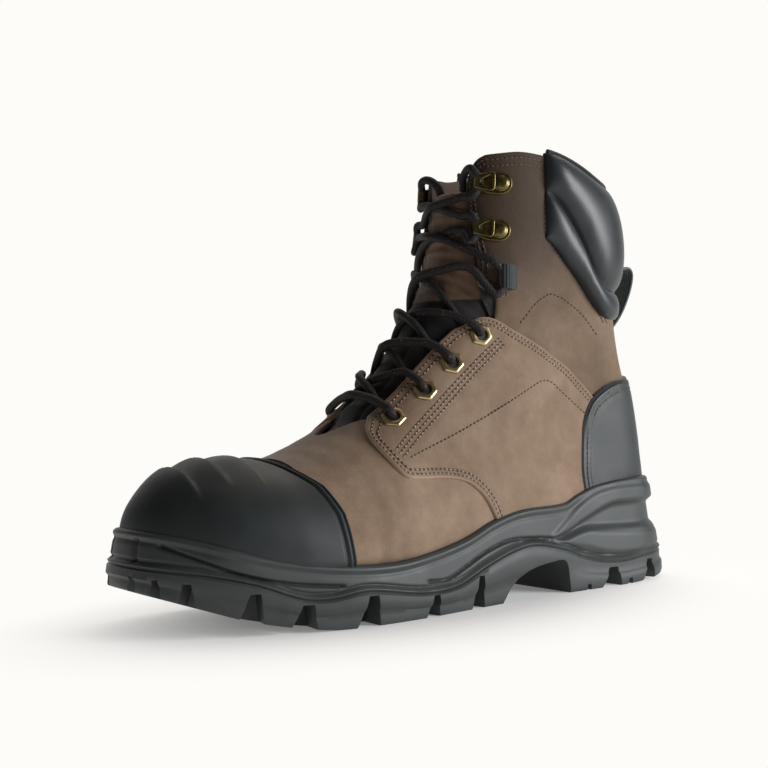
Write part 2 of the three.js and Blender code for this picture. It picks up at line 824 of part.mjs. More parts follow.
// A strip of webbing along a line in the plane of the shape.
function ribbon(points, thickness, count) {
  const line = new THREE.SplineCurve(points.map(([a, b]) => new THREE.Vector2(a, b)));
  const near = [];
  const far = [];
  for (const t of steps(0, 1, count)) {
    const ahead = line.getTangent(t);
    const across = new THREE.Vector2(-ahead.y, ahead.x).multiplyScalar(thickness / 2);
    near.push(line.getPoint(t).sub(across));
    far.push(line.getPoint(t).add(across));
  }
  return new THREE.Shape([...near, ...far.reverse()]);
}

function laceLoop(side) {
  const seat = seatOn(side, laceLoopAt, clearance);
  const tall = laceWidth + 2 * webbing + 4 * clearance;
  const layers = tall / webbing;
  const line = [
    [-0.8, 1.6],
    [-0.2, 1.8],
    [0.3, layers - 0.6],
    [0.75, layers - 0.9],
    [1, 0.5 * layers],
    [0.75, 0.9],
    [0.3, 0.55],
    [-0.3, 0.5],
    [-0.8, 0.5],
  ];
  const points = line.map(([a, b]) => [a * laceLoopReach - 0.3 * laceLoopReach, b * webbing]);
  const turned = placed(seat, 0, 0, 0).multiply(acrossFacing);
  return extruded(ribbon(points, webbing, 18), laceLoopWidth, turned);
}

// Webbing loop at the back: out of the seam between the collar's tubes and back in below the collar.
function pullLoop() {
  const back = (z) => lastSurface(stationAtHeight(z, Math.PI), Math.PI).y;
  const { lower, seam } = collarLines(Math.PI);
  const pad = collarPadding;
  const points = [
    [back(seam) + 0.5 * pad, seam + 0.3 * webbing],
    [back(seam) + 1.1 * pad, seam + 0.55 * pullLoopReach],
    [back(seam) + pad + 0.7 * pullLoopReach, seam + 0.95 * pullLoopReach],
    [back(seam) + pad + pullLoopReach, seam + 0.6 * pullLoopReach],
    [back(seam) + pad + 0.6 * pullLoopReach, seam - 0.15 * pullLoopReach],
    [back(lower) + 1.25 * pad, lower + 0.4 * pad],
    [back(lower) + 0.75 * pad, lower - 0.35 * pad],
    [back(lower) + webbing + clearance, lower - 0.8 * pad],
  ];
  return extruded(ribbon(points, webbing, 20), pullLoopWidth, sideView);
}

function cord(points) {
  const path = new THREE.CatmullRomCurve3(points);
  const round = new THREE.Shape(polygon(8, laceWidth / 2));
  const geometry = new THREE.ExtrudeGeometry(round, { steps: 5, extrudePath: path, bevelEnabled: false });
  return mergedSolid(geometry);
}

const half = laceWidth / 2;
const overTongue = half + clearance - upperWall;
const overShaft = half + 2 * clearance;
const overQuarter = overShaft + quarterStep;
const overEyelet = overQuarter + eyeletThickness + 9 * clearance;

function ridgePoint(side, station, width, offset) {
  return lastPoint(station, side * angleAtWidth(station, width), offset);
}

// One lace from under one facing's edge, over the tongue and over the other facing to its next fastening.
function laceRun(side, from, to, crest) {
  const edge = throatWidth(from.leave);
  const far = throatWidth(to.arrive);
  return cord([
    ridgePoint(side, from.leave, edge - 1.4 * half, overTongue),
    ridgePoint(side, lerp(from.leave, to.arrive, 0.3), 0.45 * edge, overTongue + crest),
    ridgePoint(-side, lerp(from.leave, to.arrive, 0.7), 0.35 * far, overTongue + crest + half),
    ridgePoint(-side, to.arrive, far + 0.2 * half, to.over),
    lastPoint(to.station, -side * to.angle, to.offset),
  ]);
}

function crossing(from, to) {
  return laceRun(1, from, to, 1.2 * half).add(laceRun(-1, from, to, 0.1 * half));
}

function laceBar(level) {
  const across = [-1, -0.55, 0, 0.55, 1];
  const beside = overQuarter + clearance;
  const crest = [overEyelet, beside, overTongue + half, beside, overEyelet];
  return cord(across.map((share, i) => lastPoint(level.station, share * level.angle, crest[i])));
}

// Where the lace arrives at and leaves each pair of fastenings, as stations of the last.
function fastening(at, below, above, over, offset) {
  const y = upperY(at[0]);
  const z = upperZ(at[1]);
  const { station, angle } = placeAt(1, y, z - below);
  const leave = placeAt(1, y, z + above).station + 0.25;
  return { station, angle, over, offset, arrive: station - 0.12, leave };
}

const fastenings = [
  ...eyeletPlaces.map((at) => fastening(at, 0, 0, overQuarter, overEyelet)),
  fastening(laceLoopAt, 1.3 * laceLoopWidth, laceLoopWidth, overShaft, overShaft),
  ...hookPlaces.map((at) => (
    fastening(at, hookLoopWidth, hookLoopWidth / 2, overShaft, overShaft + clearance)
  )),
];

// Ribs of rubber over the toe cap, as arcs across it in plan.
function gillBlock(along, reach, width) {
  const front = upperY(along);
  const middle = lastTable[1].shift * ballWidth;
  const shape = new THREE.Shape();
  shape.moveTo(middle - reach, front + 0.45 * reach);
  shape.quadraticCurveTo(middle, front - 0.5 * reach, middle + reach, front + 0.45 * reach);
  shape.quadraticCurveTo(middle, front - 0.5 * reach + 2 * width, middle - reach, front + 0.45 * reach);
  return extruded(shape, bootHeight, new THREE.Matrix4().makeTranslation(0, 0, 0.7 * bootHeight));
}

function toeCap(rimCut) {
  const edge = smoothLine(shares(toeCapEdge), 9);
  const ahead = [[upperY(1.3), upperZ(0.42)], [upperY(1.3), upperZ(0.06)]];
  const gills = gillRows.reduce(
    (made, row) => made.add(gillBlock(row.along, row.reach * ballWidth, row.width * ballWidth)),
    gillBlock(gillRows[0].along, gillRows[0].reach * ballWidth, gillRows[0].width * ballWidth),
  );
  const ribs = last(toeCapThickness + gillHeight).intersect(gills);
  return last(toeCapThickness).add(ribs)
    .intersect(sideBlock([...edge, ...ahead]))
    .subtract(last(clearance))
    .subtract(rimCut);
}

function heelCounter(rimCut) {
  const edge = smoothLine(shares(counterEdge), 10);
  const behind = [[upperY(-0.3), upperZ(0.49)], [upperY(-0.3), upperZ(0.1)]];
  return last(quarterStep + counterThickness).intersect(sideBlock([...edge, ...behind]))
    .subtract(grown(clearance))
    .subtract(rimCut);
}

function midsole() {
  return midsoleBlock().subtract(grown(clearance));
}

function outsoleInset(height, y) {
  const foot = lerp(0.35, 0.05, ribbed(y)) * ribDepth;
  return height > 0.5 ? lerp(0.05, 0.4, ribbed(y)) * ribDepth : foot;
}

// A cut through the outsole's edge from below: wide at the bottom and outside.
function notch(row, side) {
  const y = soleBehindHeel - row.along * soleLength;
  const width = row.width * soleWidth;
  const depth = row.depth * notchDepth;
  const edge = outlineAt(Math.acos(2 * row.along - 1) * side).x;
  const shape = new THREE.Shape();
  shape.moveTo(edge + side * depth, y - width / 2);
  shape.lineTo(edge + side * depth, y + width / 2);
  shape.lineTo(edge - side * depth, y + 0.3 * width);
  shape.lineTo(edge - side * depth, y - 0.3 * width);
  const top = lerp(tread(y), wave(y), row.rise);
  return extruded(shape, 2 * top, new THREE.Matrix4());
}

// A channel across the tread.
function channel(row) {
  const y = soleBehindHeel - row.along * soleLength;
  const width = 0.75 * row.width * soleWidth;
  const top = tread(y) + lugDepth;
  const shape = new THREE.Shape();
  shape.moveTo(-soleWidth, y - width / 2);
  shape.lineTo(soleWidth, y - width / 2);
  shape.lineTo(soleWidth, y + width / 2);
  shape.lineTo(-soleWidth, y + width / 2);
  return extruded(shape, 2 * top, new THREE.Matrix4());
}

function outsole() {
  const rings = [
    soleRing((y) => outsoleInset(0, y) + 0.25 * ribDepth, tread),
    soleRing((y) => outsoleInset(0, y), (y) => tread(y) + 0.4 * lugDepth),
    soleRing((y) => outsoleInset(1, y), (y) => lerp(tread(y), wave(y), 0.8)),
    soleRing((y) => midsoleInset(midsoleSide[0], y), (y) => wave(y) - clearance / 2),
  ];
  const arch = sideBlock(smoothLine(archLine.map(([along, up]) => [
    soleBehindHeel - along * soleLength,
    up * soleHeight,
  ]), 12));
  let made = skin(rings).subtract(arch);
  for (const row of notchRows) {
    made = made.subtract(notch(row, 1)).subtract(notch(row, -1));
    if (row.across) made = made.subtract(channel(row));
  }
  return made;
}

function upper() {
  const holes = [];
  for (const side of Object.values(sides)) {
    for (const at of eyeletPlaces) holes.push(eyeletHole(side, at));
  }
  const shell = grown(0)
    .subtract(last(-upperWall))
    .subtract(footOpening())
    .subtract(toplineBlock())
    .subtract(throatOpening())
    .subtract(collarSeat());
  return holes.reduce((made, hole) => made.subtract(hole), shell);
}

function tongue() {
  const width = (station) => throatWidth(station) + tongueUnderFacing;
  const outer = -upperWall - tongueSlack;
  return ridgeStrip(steps(3.62, 14.7, 9), width, () => outer, () => outer - tongueThickness, 6);
}

function insole() {
  const top = (y) => baseAt(y) + upperWall + clearance + insoleThickness;
  const block = skin([soleRing(() => 0, () => 0), soleRing(() => 0, top)]);
  return last(-upperWall - 2 * clearance).intersect(block);
}

const rimCut = skin([
  soleRing((y) => midsoleInset(midsoleSide[0], y), () => 0),
  ...midsoleSide.slice(1).map((row) => soleRing(
    (y) => midsoleInset(row, y),
    (y) => lerp(wave(y), rim(y), row.height) + clearance,
  )),
]);
add("outsole", outsole(), soleRubber);
add("midsole", midsole(), soleRubber);
add("upper", upper(), brownLeather);
add("toe_cap", toeCap(rimCut), capRubber);
add("heel_counter", heelCounter(rimCut), capRubber);
add("collar", collar(), blackLeather);
add("tongue", tongue(), darkLeather);
add("insole", insole(), lining);
add("pull_loop", pullLoop(), strap);
add("lace_bar", laceBar(fastenings[0]), laceCord);
fastenings.slice(1).forEach((to, i) => {
  add("lace_crossing_" + (i + 1), crossing(fastenings[i], to), laceCord);
});
for (const [name, side] of Object.entries(sides)) {
  add("lace_loop_" + name, laceLoop(side), strap);
  eyeletPlaces.forEach((at, i) => add("eyelet_" + name + "_" + (i + 1), eyelet(side, at), brass));
  hookPlaces.forEach((at, i) => add("hook_" + name + "_" + (i + 1), hook(side, at), brass));
}

export default boot;
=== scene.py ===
import json
import math

import bmesh
import bpy
import numpy as np
from mathutils import Matrix, Vector
from mathutils.geometry import delaunay_2d_cdt

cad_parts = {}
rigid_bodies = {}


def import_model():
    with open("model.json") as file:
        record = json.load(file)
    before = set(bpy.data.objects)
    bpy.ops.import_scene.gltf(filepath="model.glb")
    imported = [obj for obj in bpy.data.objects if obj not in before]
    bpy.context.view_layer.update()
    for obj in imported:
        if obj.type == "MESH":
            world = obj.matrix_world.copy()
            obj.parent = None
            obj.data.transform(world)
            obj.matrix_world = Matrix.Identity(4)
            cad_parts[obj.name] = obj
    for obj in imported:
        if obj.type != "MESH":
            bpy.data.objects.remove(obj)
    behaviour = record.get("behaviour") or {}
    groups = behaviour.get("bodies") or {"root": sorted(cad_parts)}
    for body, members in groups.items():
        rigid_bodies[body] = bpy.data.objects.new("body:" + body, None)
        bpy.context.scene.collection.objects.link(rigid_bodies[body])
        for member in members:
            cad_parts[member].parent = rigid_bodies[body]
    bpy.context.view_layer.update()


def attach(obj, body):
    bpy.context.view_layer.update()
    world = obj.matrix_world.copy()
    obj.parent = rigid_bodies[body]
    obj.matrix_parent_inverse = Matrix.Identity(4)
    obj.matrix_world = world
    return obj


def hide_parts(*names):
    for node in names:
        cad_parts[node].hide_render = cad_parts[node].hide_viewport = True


# the starting file's own cube, lamp and camera aren't needed
for leftover in list(bpy.data.objects):
    bpy.data.objects.remove(leftover)
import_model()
mm = 0.001  # the sizes below are in millimetres, the scene is in metres

# camera, light and floor
studio = {
    "cameraPlace": (540.2, -489.87, 100.3),
    "azimuth": 56.09,
    "elevation": -0.731,
    "roll": -1.843,
    "lens": 60.86,
    "paper": "#fdfcf9",
    "keyPower": 19,
    "topPower": 5,
    "sky": 0.09,
    # glow at the middle of the floor's painted shadow
    "floorGlowInPaintedShadow": 0.16,
    "floorGlowFar": 1.0,
}


def toLinear(hexColour):
    shares = [int(hexColour[i:i + 2], 16) / 255 for i in (1, 3, 5)]
    return (*[c / 12.92 if c <= 0.04045 else ((c + 0.055) / 1.055) ** 2.4 for c in shares], 1)


def addNode(material, kind, links=None, **settings):
    made = material.node_tree.nodes.new(kind)
    for name, value in settings.items():
        setattr(made, name, value)
    for name, value in (links or {}).items():
        if isinstance(value, bpy.types.NodeSocket):
            material.node_tree.links.new(value, made.inputs[name])
        else:
            made.inputs[name].default_value = value
    return made


def newMaterial(name, **sockets):
    material = bpy.data.materials.new(name)
    material.use_nodes = True
    shader = material.node_tree.nodes["Principled BSDF"]
    for socket, value in sockets.items():
        shader.inputs[socket.replace("_", " ")].default_value = value
    return material, shader


def joinNodes(material, source, target):
    material.node_tree.links.new(source, target)


def stops(ramp, places):
    elements = ramp.color_ramp.elements
    while len(elements) < len(places):
        elements.new(0.5)
    for element, (place, colour) in zip(elements, places):
        element.position = place
        element.color = toLinear(colour) if isinstance(colour, str) else (colour, colour, colour, 1)
    return ramp.outputs["Color"]


def mathNode(material, operation, *values):
    return addNode(material, "ShaderNodeMath", dict(enumerate(values)), operation=operation).outputs[0]


def vectorNode(material, operation, *values, output="Vector"):
    node = addNode(material, "ShaderNodeVectorMath", dict(enumerate(values)), operation=operation)
    return node.outputs[output]


def rangeNode(material, value, low, high, start=0, end=1, **settings):
    links = {"Value": value, "From Min": low, "From Max": high, "To Min": start, "To Max": end}
    return addNode(material, "ShaderNodeMapRange", links, **settings).outputs["Result"]


def noiseNode(material, place, scale, detail, roughness=0.5):
    links = {"Vector": place, "Scale": scale, "Detail": detail, "Roughness": roughness}
    return addNode(material, "ShaderNodeTexNoise", links).outputs["Fac"]


def rampNode(material, share, places):
    return stops(addNode(material, "ShaderNodeValToRGB", {"Fac": share}), places)


def mixNode(material, share, one, other, **settings):
    links = {"Factor": share, "A": one, "B": other}
    return addNode(material, "ShaderNodeMix", links, data_type="RGBA", **settings).outputs["Result"]


def bumpNode(material, height, strength, distance, under=None, **settings):
    links = {"Height": height, "Strength": strength, "Distance": distance}
    if under is not None:
        links["Normal"] = under
    return addNode(material, "ShaderNodeBump", links, **settings).outputs["Normal"]


def objectPlace(material):
    return addNode(material, "ShaderNodeTexCoord").outputs["Object"]


def splitOf(material, vector):
    return addNode(material, "ShaderNodeSeparateXYZ", {"Vector": vector}).outputs


def setCamera():
    azimuth, elevation = math.radians(studio["azimuth"]), math.radians(studio["elevation"])
    back = Vector((
        math.sin(azimuth) * math.cos(elevation),
        -math.cos(azimuth) * math.cos(elevation),
        math.sin(elevation),
    ))
    right = (-back).cross(Vector((0, 0, 1))).normalized()
    up = right.cross(-back)
    roll = math.radians(studio["roll"])
    across = right * math.cos(roll) + up * math.sin(roll)
    above = -right * math.sin(roll) + up * math.cos(roll)
    bpy.ops.object.camera_add()
    camera = bpy.context.object
    turn = Matrix((across, above, back)).transposed().to_4x4()
    camera.matrix_world = Matrix.Translation(Vector(studio["cameraPlace"]) * mm) @ turn
    camera.data.lens = studio["lens"]
    camera.data.clip_start = 0.01
    bpy.context.scene.camera = camera


def areaLight(place, aim, size, power, colour):
    bpy.ops.object.light_add(type="AREA", location=place)
    lamp = bpy.context.object
    lamp.data.shape = "DISK"
    lamp.data.size = size
    lamp.data.energy = power
    lamp.data.color = toLinear(colour)[:3]
    lamp.rotation_euler = (Vector(aim) - Vector(place)).to_track_quat("-Z", "Y").to_euler()


def setStudio():
    # a large key low behind the heel's right and a soft top light; the toe's side stays dark
    areaLight((1.0, 0.62, 0.33), (0, -0.06, 0.09), 0.75, studio["keyPower"], "#fbfcff")
    areaLight((-0.3, 0.5, 1.4), (0, -0.08, 0), 1.1, studio["topPower"], "#ffeed8")
    world = bpy.data.worlds.new("paleStudio")
    bpy.context.scene.world = world
    world.use_nodes = True
    world.node_tree.nodes["Background"].inputs["Color"].default_value = toLinear(studio["paper"])
    world.node_tree.nodes["Background"].inputs["Strength"].default_value = studio["sky"]
    bpy.context.scene.view_settings.view_transform = "Standard"
    # the floor's paper glows evenly far off, and less in an oval round the boot: a painted shadow there, on top of
    # the real shadow the lamps cast
    paper, shader = newMaterial("floorPaper", Roughness=0.9)
    shader.inputs["Specular IOR Level"].default_value = 0
    shader.inputs["Emission Color"].default_value = toLinear(studio["paper"])
    # painted shadow: an oval around the boot where the paper glows less
    place = objectPlace(paper)
    centred = vectorNode(paper, "ADD", place, (-0.01, 0.115, 0))
    oval = vectorNode(paper, "MULTIPLY", centred, (1 / 0.13, 1 / 0.215, 0))
    far = vectorNode(paper, "LENGTH", oval, output="Value")
    glow = rangeNode(paper, far, 0.35, 1.15, studio["floorGlowInPaintedShadow"], studio["floorGlowFar"],
                     interpolation_type="SMOOTHSTEP")
    grey = rangeNode(paper, far, 0.45, 1.15, 0.9, 0, interpolation_type="SMOOTHSTEP")
    # nothing glows behind the camera, so the toe and the front of the shaft stay dark
    azimuth = math.radians(studio["azimuth"])
    facing = (math.sin(azimuth), -math.cos(azimuth), 0)
    towards = vectorNode(paper, "DOT_PRODUCT", place, facing, output="Value")
    seen = rangeNode(paper, towards, 0.42, 0.5, 1, 0)
    joinNodes(paper, mathNode(paper, "MULTIPLY", glow, seen), shader.inputs["Emission Strength"])
    unseen = mathNode(paper, "SUBTRACT", 0.75, seen)
    joinNodes(paper, mathNode(paper, "MAXIMUM", grey, unseen), shader.inputs["Base Color"])
    bpy.ops.object.select_all(action="DESELECT")
    bpy.ops.mesh.primitive_plane_add(size=9)
    floor = bpy.context.object
    floor.name = "paperFloor"
    floor.data.materials.append(paper)
    # a glowing card stands behind, square to the camera
    card, shader = newMaterial("backCard", Roughness=1.0)
    shader.inputs["Base Color"].default_value = (0, 0, 0, 1)
    shader.inputs["Specular IOR Level"].default_value = 0
    shader.inputs["Emission Color"].default_value = toLinear(studio["paper"])
    shader.inputs["Emission Strength"].default_value = 1
    bpy.ops.mesh.primitive_plane_add(size=7)
    back = bpy.context.object
    back.name = "backCard"
    back.rotation_euler = (math.pi / 2, 0, azimuth)
    back.location = (-3.4 * math.sin(azimuth), 3.4 * math.cos(azimuth), 3.3)
    back.data.materials.append(card)


setCamera()
setStudio()
print("studio set")

# the last: the form that every leather and rubber panel lies on
last = {
    "length": 296,
    "behindHeel": 36,
    "height": 228,
    "ballWidth": 104,
    "toeTipUp": 0.185,
    # ridgeAlong ridgeUp baseAlong baseUp lateral medial fullness lowEnd highEnd shift
    "rows": [
        [1.0, 0.315, 1.0, 0.16, 0.365, 0.345, 0.9, 0.3, 0.75, -0.077],
        [0.848, 0.32, 0.848, 0.105, 0.47, 0.42, 0.95, 0.22, 0.72, -0.038],
        [0.78, 0.325, 0.78, 0.09, 0.51, 0.45, 0.95, 0.2, 0.76, -0.029],
        [0.703, 0.36, 0.703, 0.085, 0.53, 0.465, 0.95, 0.19, 0.8, -0.024],
        [0.635, 0.408, 0.611, 0.087, 0.515, 0.44, 0.95, 0.18, 0.78, -0.014],
        [0.588, 0.46, 0.5, 0.103, 0.46, 0.395, 0.95, 0.17, 0.72, -0.01],
        [0.54, 0.53, 0.375, 0.127, 0.405, 0.355, 0.95, 0.16, 0.62, 0],
        [0.5, 0.6, 0.24, 0.143, 0.365, 0.345, 1.0, 0.14, 0.52, 0],
        [0.473, 0.654, 0.112, 0.153, 0.331, 0.331, 1.05, 0.13, 0.43, 0],
        [0.456, 0.69, 0.034, 0.175, 0.318, 0.318, 1.07, 0.22, 0.38, 0],
        [0.446, 0.724, 0.032, 0.272, 0.32, 0.32, 1.06, 0.25, 0.35, 0],
        [0.438, 0.759, 0.047, 0.395, 0.326, 0.326, 1.05, 0.26, 0.35, 0],
        [0.431, 0.794, 0.069, 0.504, 0.333, 0.333, 1.03, 0.28, 0.35, 0],
        [0.426, 0.83, 0.079, 0.605, 0.34, 0.34, 1.02, 0.31, 0.37, 0],
        [0.419, 0.868, 0.081, 0.724, 0.342, 0.342, 1.02, 0.34, 0.39, 0],
        [0.412, 0.92, 0.089, 0.877, 0.342, 0.342, 1.02, 0.37, 0.41, 0],
        [0.402, 1.035, 0.103, 1.035, 0.35, 0.35, 1.02, 0.4, 0.43, 0],
    ],
}
lastRows = np.array(last["rows"], float)
lastEnd = len(lastRows) - 1
lastPadded = np.vstack([2 * lastRows[:1] - lastRows[1:2], lastRows, 2 * lastRows[-1:] - lastRows[-2:-1]])


def mix(a, b, t):
    return a + (b - a) * t


def rounded(share, power):
    return (1 - (1 - np.clip(share, 0, 1)) ** power) ** (1 / power)


def smoothStep(value, low, high):
    t = np.clip((value - low) / (high - low), 0, 1)
    return t * t * (3 - 2 * t)


def curveThrough(a, b, c, d, t):
    return 0.5 * (2 * b + (c - a) * t + (2 * a - 5 * b + 4 * c - d) * t**2 + (3 * b - a - 3 * c + d) * t**3)


def farAlong(line):
    return np.concatenate([[0], np.cumsum(np.linalg.norm(np.diff(line, axis=0), axis=1))])


def readLine(line, far, at):
    return np.stack([np.interp(at, far, line[:, k]) for k in range(line.shape[1])], 1)


def lastSection(station):
    at = np.clip(np.asarray(station, float), 0, lastEnd - 1e-6)
    i = np.floor(at).astype(int)
    t = (at - i)[..., None]
    a, b, c, d = lastPadded[i], lastPadded[i + 1], lastPadded[i + 2], lastPadded[i + 3]
    curved = curveThrough(a, b, c, d, t)
    turn = np.cos(np.minimum(at, 1) * np.pi / 2)
    row = np.where((at < 1)[..., None], mix(b, c, 1 - turn[..., None]), curved)
    pole = last["toeTipUp"] * last["height"]
    narrow = (1 - turn**2.3) ** (1 / 2.3)
    return {
        "ridgeY": last["behindHeel"] - row[..., 0] * last["length"],
        "ridgeZ": mix(pole, row[..., 1] * last["height"], (1 - turn**2.2) ** (1 / 2.2)),
        "baseY": last["behindHeel"] - row[..., 2] * last["length"],
        "baseZ": mix(pole, row[..., 3] * last["height"], (1 - turn**5) ** 0.2),
        "lateral": row[..., 4] * last["ballWidth"] * narrow,
        "medial": row[..., 5] * last["ballWidth"] * narrow,
        "fullness": row[..., 6],
        "lowEnd": row[..., 7],
        "highEnd": row[..., 8],
        "shift": row[..., 9] * last["ballWidth"],
    }


def lastSurface(station, angle):
    at = lastSection(station)
    share = (1 + np.cos(angle)) / 2
    side = np.where(np.sin(angle) < 0, -1.0, 1.0)
    width = np.where(side > 0, at["lateral"], at["medial"])
    full = mix(1, at["fullness"], share * share * (3 - 2 * share))
    ends = rounded(share / at["lowEnd"], 2.6) * rounded((1 - share) / at["highEnd"], 2.2)
    return np.stack([
        at["shift"] + side * width * full * ends,
        mix(at["baseY"], at["ridgeY"], share),
        mix(at["baseZ"], at["ridgeZ"], share),
    ], -1)


def unit(vectors):
    return vectors / np.maximum(np.linalg.norm(vectors, axis=-1, keepdims=True), 1e-9)


def lastNormal(station, angle):
    around = lastSurface(station, angle + 0.03) - lastSurface(station, angle - 0.03)
    ahead = lastSurface(station + 0.03, angle) - lastSurface(np.maximum(station - 0.03, 0), angle)
    return unit(np.cross(around, ahead))


def onLast(station, angle, lift):
    station, angle = np.broadcast_arrays(np.asarray(station, float), np.asarray(angle, float))
    return lastSurface(station, angle) + lastNormal(station, angle) * np.asarray(lift, float)[..., None]


def halve(low, high, isLow):
    low, high = np.array(low, float), np.array(high, float)
    for _ in range(34):
        middle = (low + high) / 2
        under = isLow(middle)
        low, high = np.where(under, middle, low), np.where(under, high, middle)
    return (low + high) / 2


# station and angle of the surface that side view shows at y, z
def fromSide(side, y, z):
    y, z = np.asarray(y, float), np.asarray(z, float)

    def ahead(station):
        at = lastSection(station)
        deep, tall = at["ridgeY"] - at["baseY"], at["ridgeZ"] - at["baseZ"]
        return deep * (z - at["baseZ"]) - tall * (y - at["baseY"]) < 0

    station = halve(np.full(y.shape, 0.1), np.full(y.shape, float(lastEnd)), ahead)
    at = lastSection(station)
    length = np.hypot(at["ridgeY"] - at["baseY"], at["ridgeZ"] - at["baseZ"])
    share = np.hypot(y - at["baseY"], z - at["baseZ"]) / length
    return station, side * np.arccos(np.clip(2 * share - 1, -1, 1))


def atHeight(z, angle):
    z, angle = np.broadcast_arrays(np.asarray(z, float), np.asarray(angle, float))
    return halve(np.full(z.shape, 5.0), np.full(z.shape, float(lastEnd)),
                 lambda u: lastSurface(u, angle)[..., 2] < z)


def atWidth(station, width):
    station, width = np.broadcast_arrays(np.asarray(station, float), np.asarray(width, float))
    return halve(np.zeros(station.shape), np.full(station.shape, np.pi / 2),
                 lambda a: lastSurface(station, a)[..., 0] < width)


# shapes in the plane of a pattern
def smoothLine(points, pitch=1.2):
    points = np.asarray(points, float)
    count = len(points)
    ids = np.arange(count - 1)
    a, b, c, d = (points[np.clip(ids + shift, 0, count - 1)] for shift in (-1, 0, 1, 2))
    a[0], d[-1] = 2 * points[0] - points[1], 2 * points[-1] - points[-2]
    fine = [curveThrough(a, b, c, d, t) for t in np.linspace(0, 1, 24, endpoint=False)]
    line = np.stack(fine, 1).reshape(-1, points.shape[1])
    return evenly(np.vstack([line, points[-1:]]), pitch)


def evenly(line, pitch):
    far = farAlong(line)
    count = max(2, int(round(far[-1] / pitch)))
    return readLine(line, far, np.linspace(0, far[-1], count + 1))


def distanceTo(points, line):
    best = np.full(len(points), 1e9)
    for a, b in zip(line[:-1], line[1:]):
        step = b - a
        t = np.clip(((points - a) @ step) / max(step @ step, 1e-12), 0, 1)
        best = np.minimum(best, np.linalg.norm(points - a - t[:, None] * step, axis=1))
    return best


def insideOf(points, loop):
    inside = np.zeros(len(points), bool)
    x, y = points[:, 0], points[:, 1]
    for (ax, ay), (bx, by) in zip(loop, np.roll(loop, -1, 0)):
        crosses = (ay > y) != (by > y)
        if ay != by:
            inside ^= crosses & (x < (bx - ax) * (y - ay) / (by - ay) + ax)
    return inside


def moved(line, distance):
    ahead = unit(np.gradient(line, axis=0))
    return line + np.stack([-ahead[:, 1], ahead[:, 0]], 1) * distance


# points and triangles that fill a pattern, with rows of points close inside its edge
def patternFill(loop, spacing, rowsIn, holes=()):
    loops = [loop, *holes]
    points = [np.asarray(part) for part in loops]
    edges, start = [], 0
    for part in loops:
        count = len(part)
        edges += [(start + i, start + (i + 1) % count) for i in range(count)]
        start += count
    shut = [np.vstack([part, part[:1]]) for part in loops]
    low, high = loop.min(0), loop.max(0)
    columns = np.arange(low[0], high[0], spacing)
    rows = np.arange(low[1], high[1], spacing * 0.866)
    grid = np.array([(x + (k % 2) * spacing / 2, y) for k, y in enumerate(rows) for x in columns])

    def clear(candidates, reach):
        inside = insideOf(candidates, loop)
        for hole in holes:
            inside &= ~insideOf(candidates, hole)
        near = np.min([distanceTo(candidates, part) for part in shut], axis=0)
        return candidates[inside & (near > reach)]

    points.append(clear(grid, (rowsIn[-1] if rowsIn else 0) + 0.55 * spacing))
    for reach in rowsIn:
        for part in loops:
            around = np.vstack([part[-1:], part, part[:1]])
            for sign in (1, -1):
                points.append(clear(moved(around, sign * reach)[1:-1], 0.93 * reach))
    flat = np.vstack(points)
    made = delaunay_2d_cdt([Vector(p) for p in flat], edges, [], 0, 1e-5)
    flat = np.array([tuple(v) for v in made[0]])
    triangles = np.array(made[2])
    middle = flat[triangles].mean(1)
    keep = insideOf(middle, loop)
    for hole in holes:
        keep &= ~insideOf(middle, hole)
    triangles = triangles[keep]
    depth = np.min([distanceTo(flat, part) for part in shut], axis=0)
    used = np.unique(triangles)
    renumber = np.zeros(len(flat), int)
    renumber[used] = np.arange(len(used))
    return flat[used], renumber[triangles], depth[used]


def rimEdges(triangles):
    edges = np.vstack([triangles[:, [0, 1]], triangles[:, [1, 2]], triangles[:, [2, 0]]])
    key = np.sort(edges, 1)
    _, first, count = np.unique(key, axis=0, return_index=True, return_counts=True)
    return edges[first[count == 1]]


def selectOnly(piece):
    bpy.ops.object.select_all(action="DESELECT")
    piece.select_set(True)
    bpy.context.view_layer.objects.active = piece


# a mesh object in metres, with its faces outward
def plainMesh(name, points, faces):
    mesh = bpy.data.meshes.new(name)
    mesh.from_pydata((np.asarray(points) * mm).tolist(), [], [list(map(int, face)) for face in faces])
    shape = bmesh.new()
    shape.from_mesh(mesh)
    bmesh.ops.recalc_face_normals(shape, faces=shape.faces)
    shape.to_mesh(mesh)
    shape.free()
    piece = bpy.data.objects.new(name, mesh)
    bpy.context.collection.objects.link(piece)
    return piece


def finishMesh(name, points, faces, material, stands=(), sharp=40, flat=None, cut=None):
    piece = plainMesh(name, points, faces)
    mesh = piece.data
    if flat is not None:
        layer = mesh.uv_layers.new(name="UVMap")
        corners = np.zeros(len(mesh.loops), int)
        mesh.loops.foreach_get("vertex_index", corners)
        layer.data.foreach_set("uv", (np.asarray(flat)[corners] * mm).ravel())
    if cut is not None:
        mesh.attributes.new("cutEdge", "FLOAT", "POINT").data.foreach_set("value", np.asarray(cut, float))
    return dress(piece, material, stands, sharp)


def dress(piece, material, stands=(), sharp=40):
    piece.data.materials.clear()
    piece.data.materials.append(material)
    selectOnly(piece)
    bpy.ops.object.shade_smooth_by_angle(angle=math.radians(sharp))
    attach(piece, "root")
    if stands:
        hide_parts(*stands)
    return piece


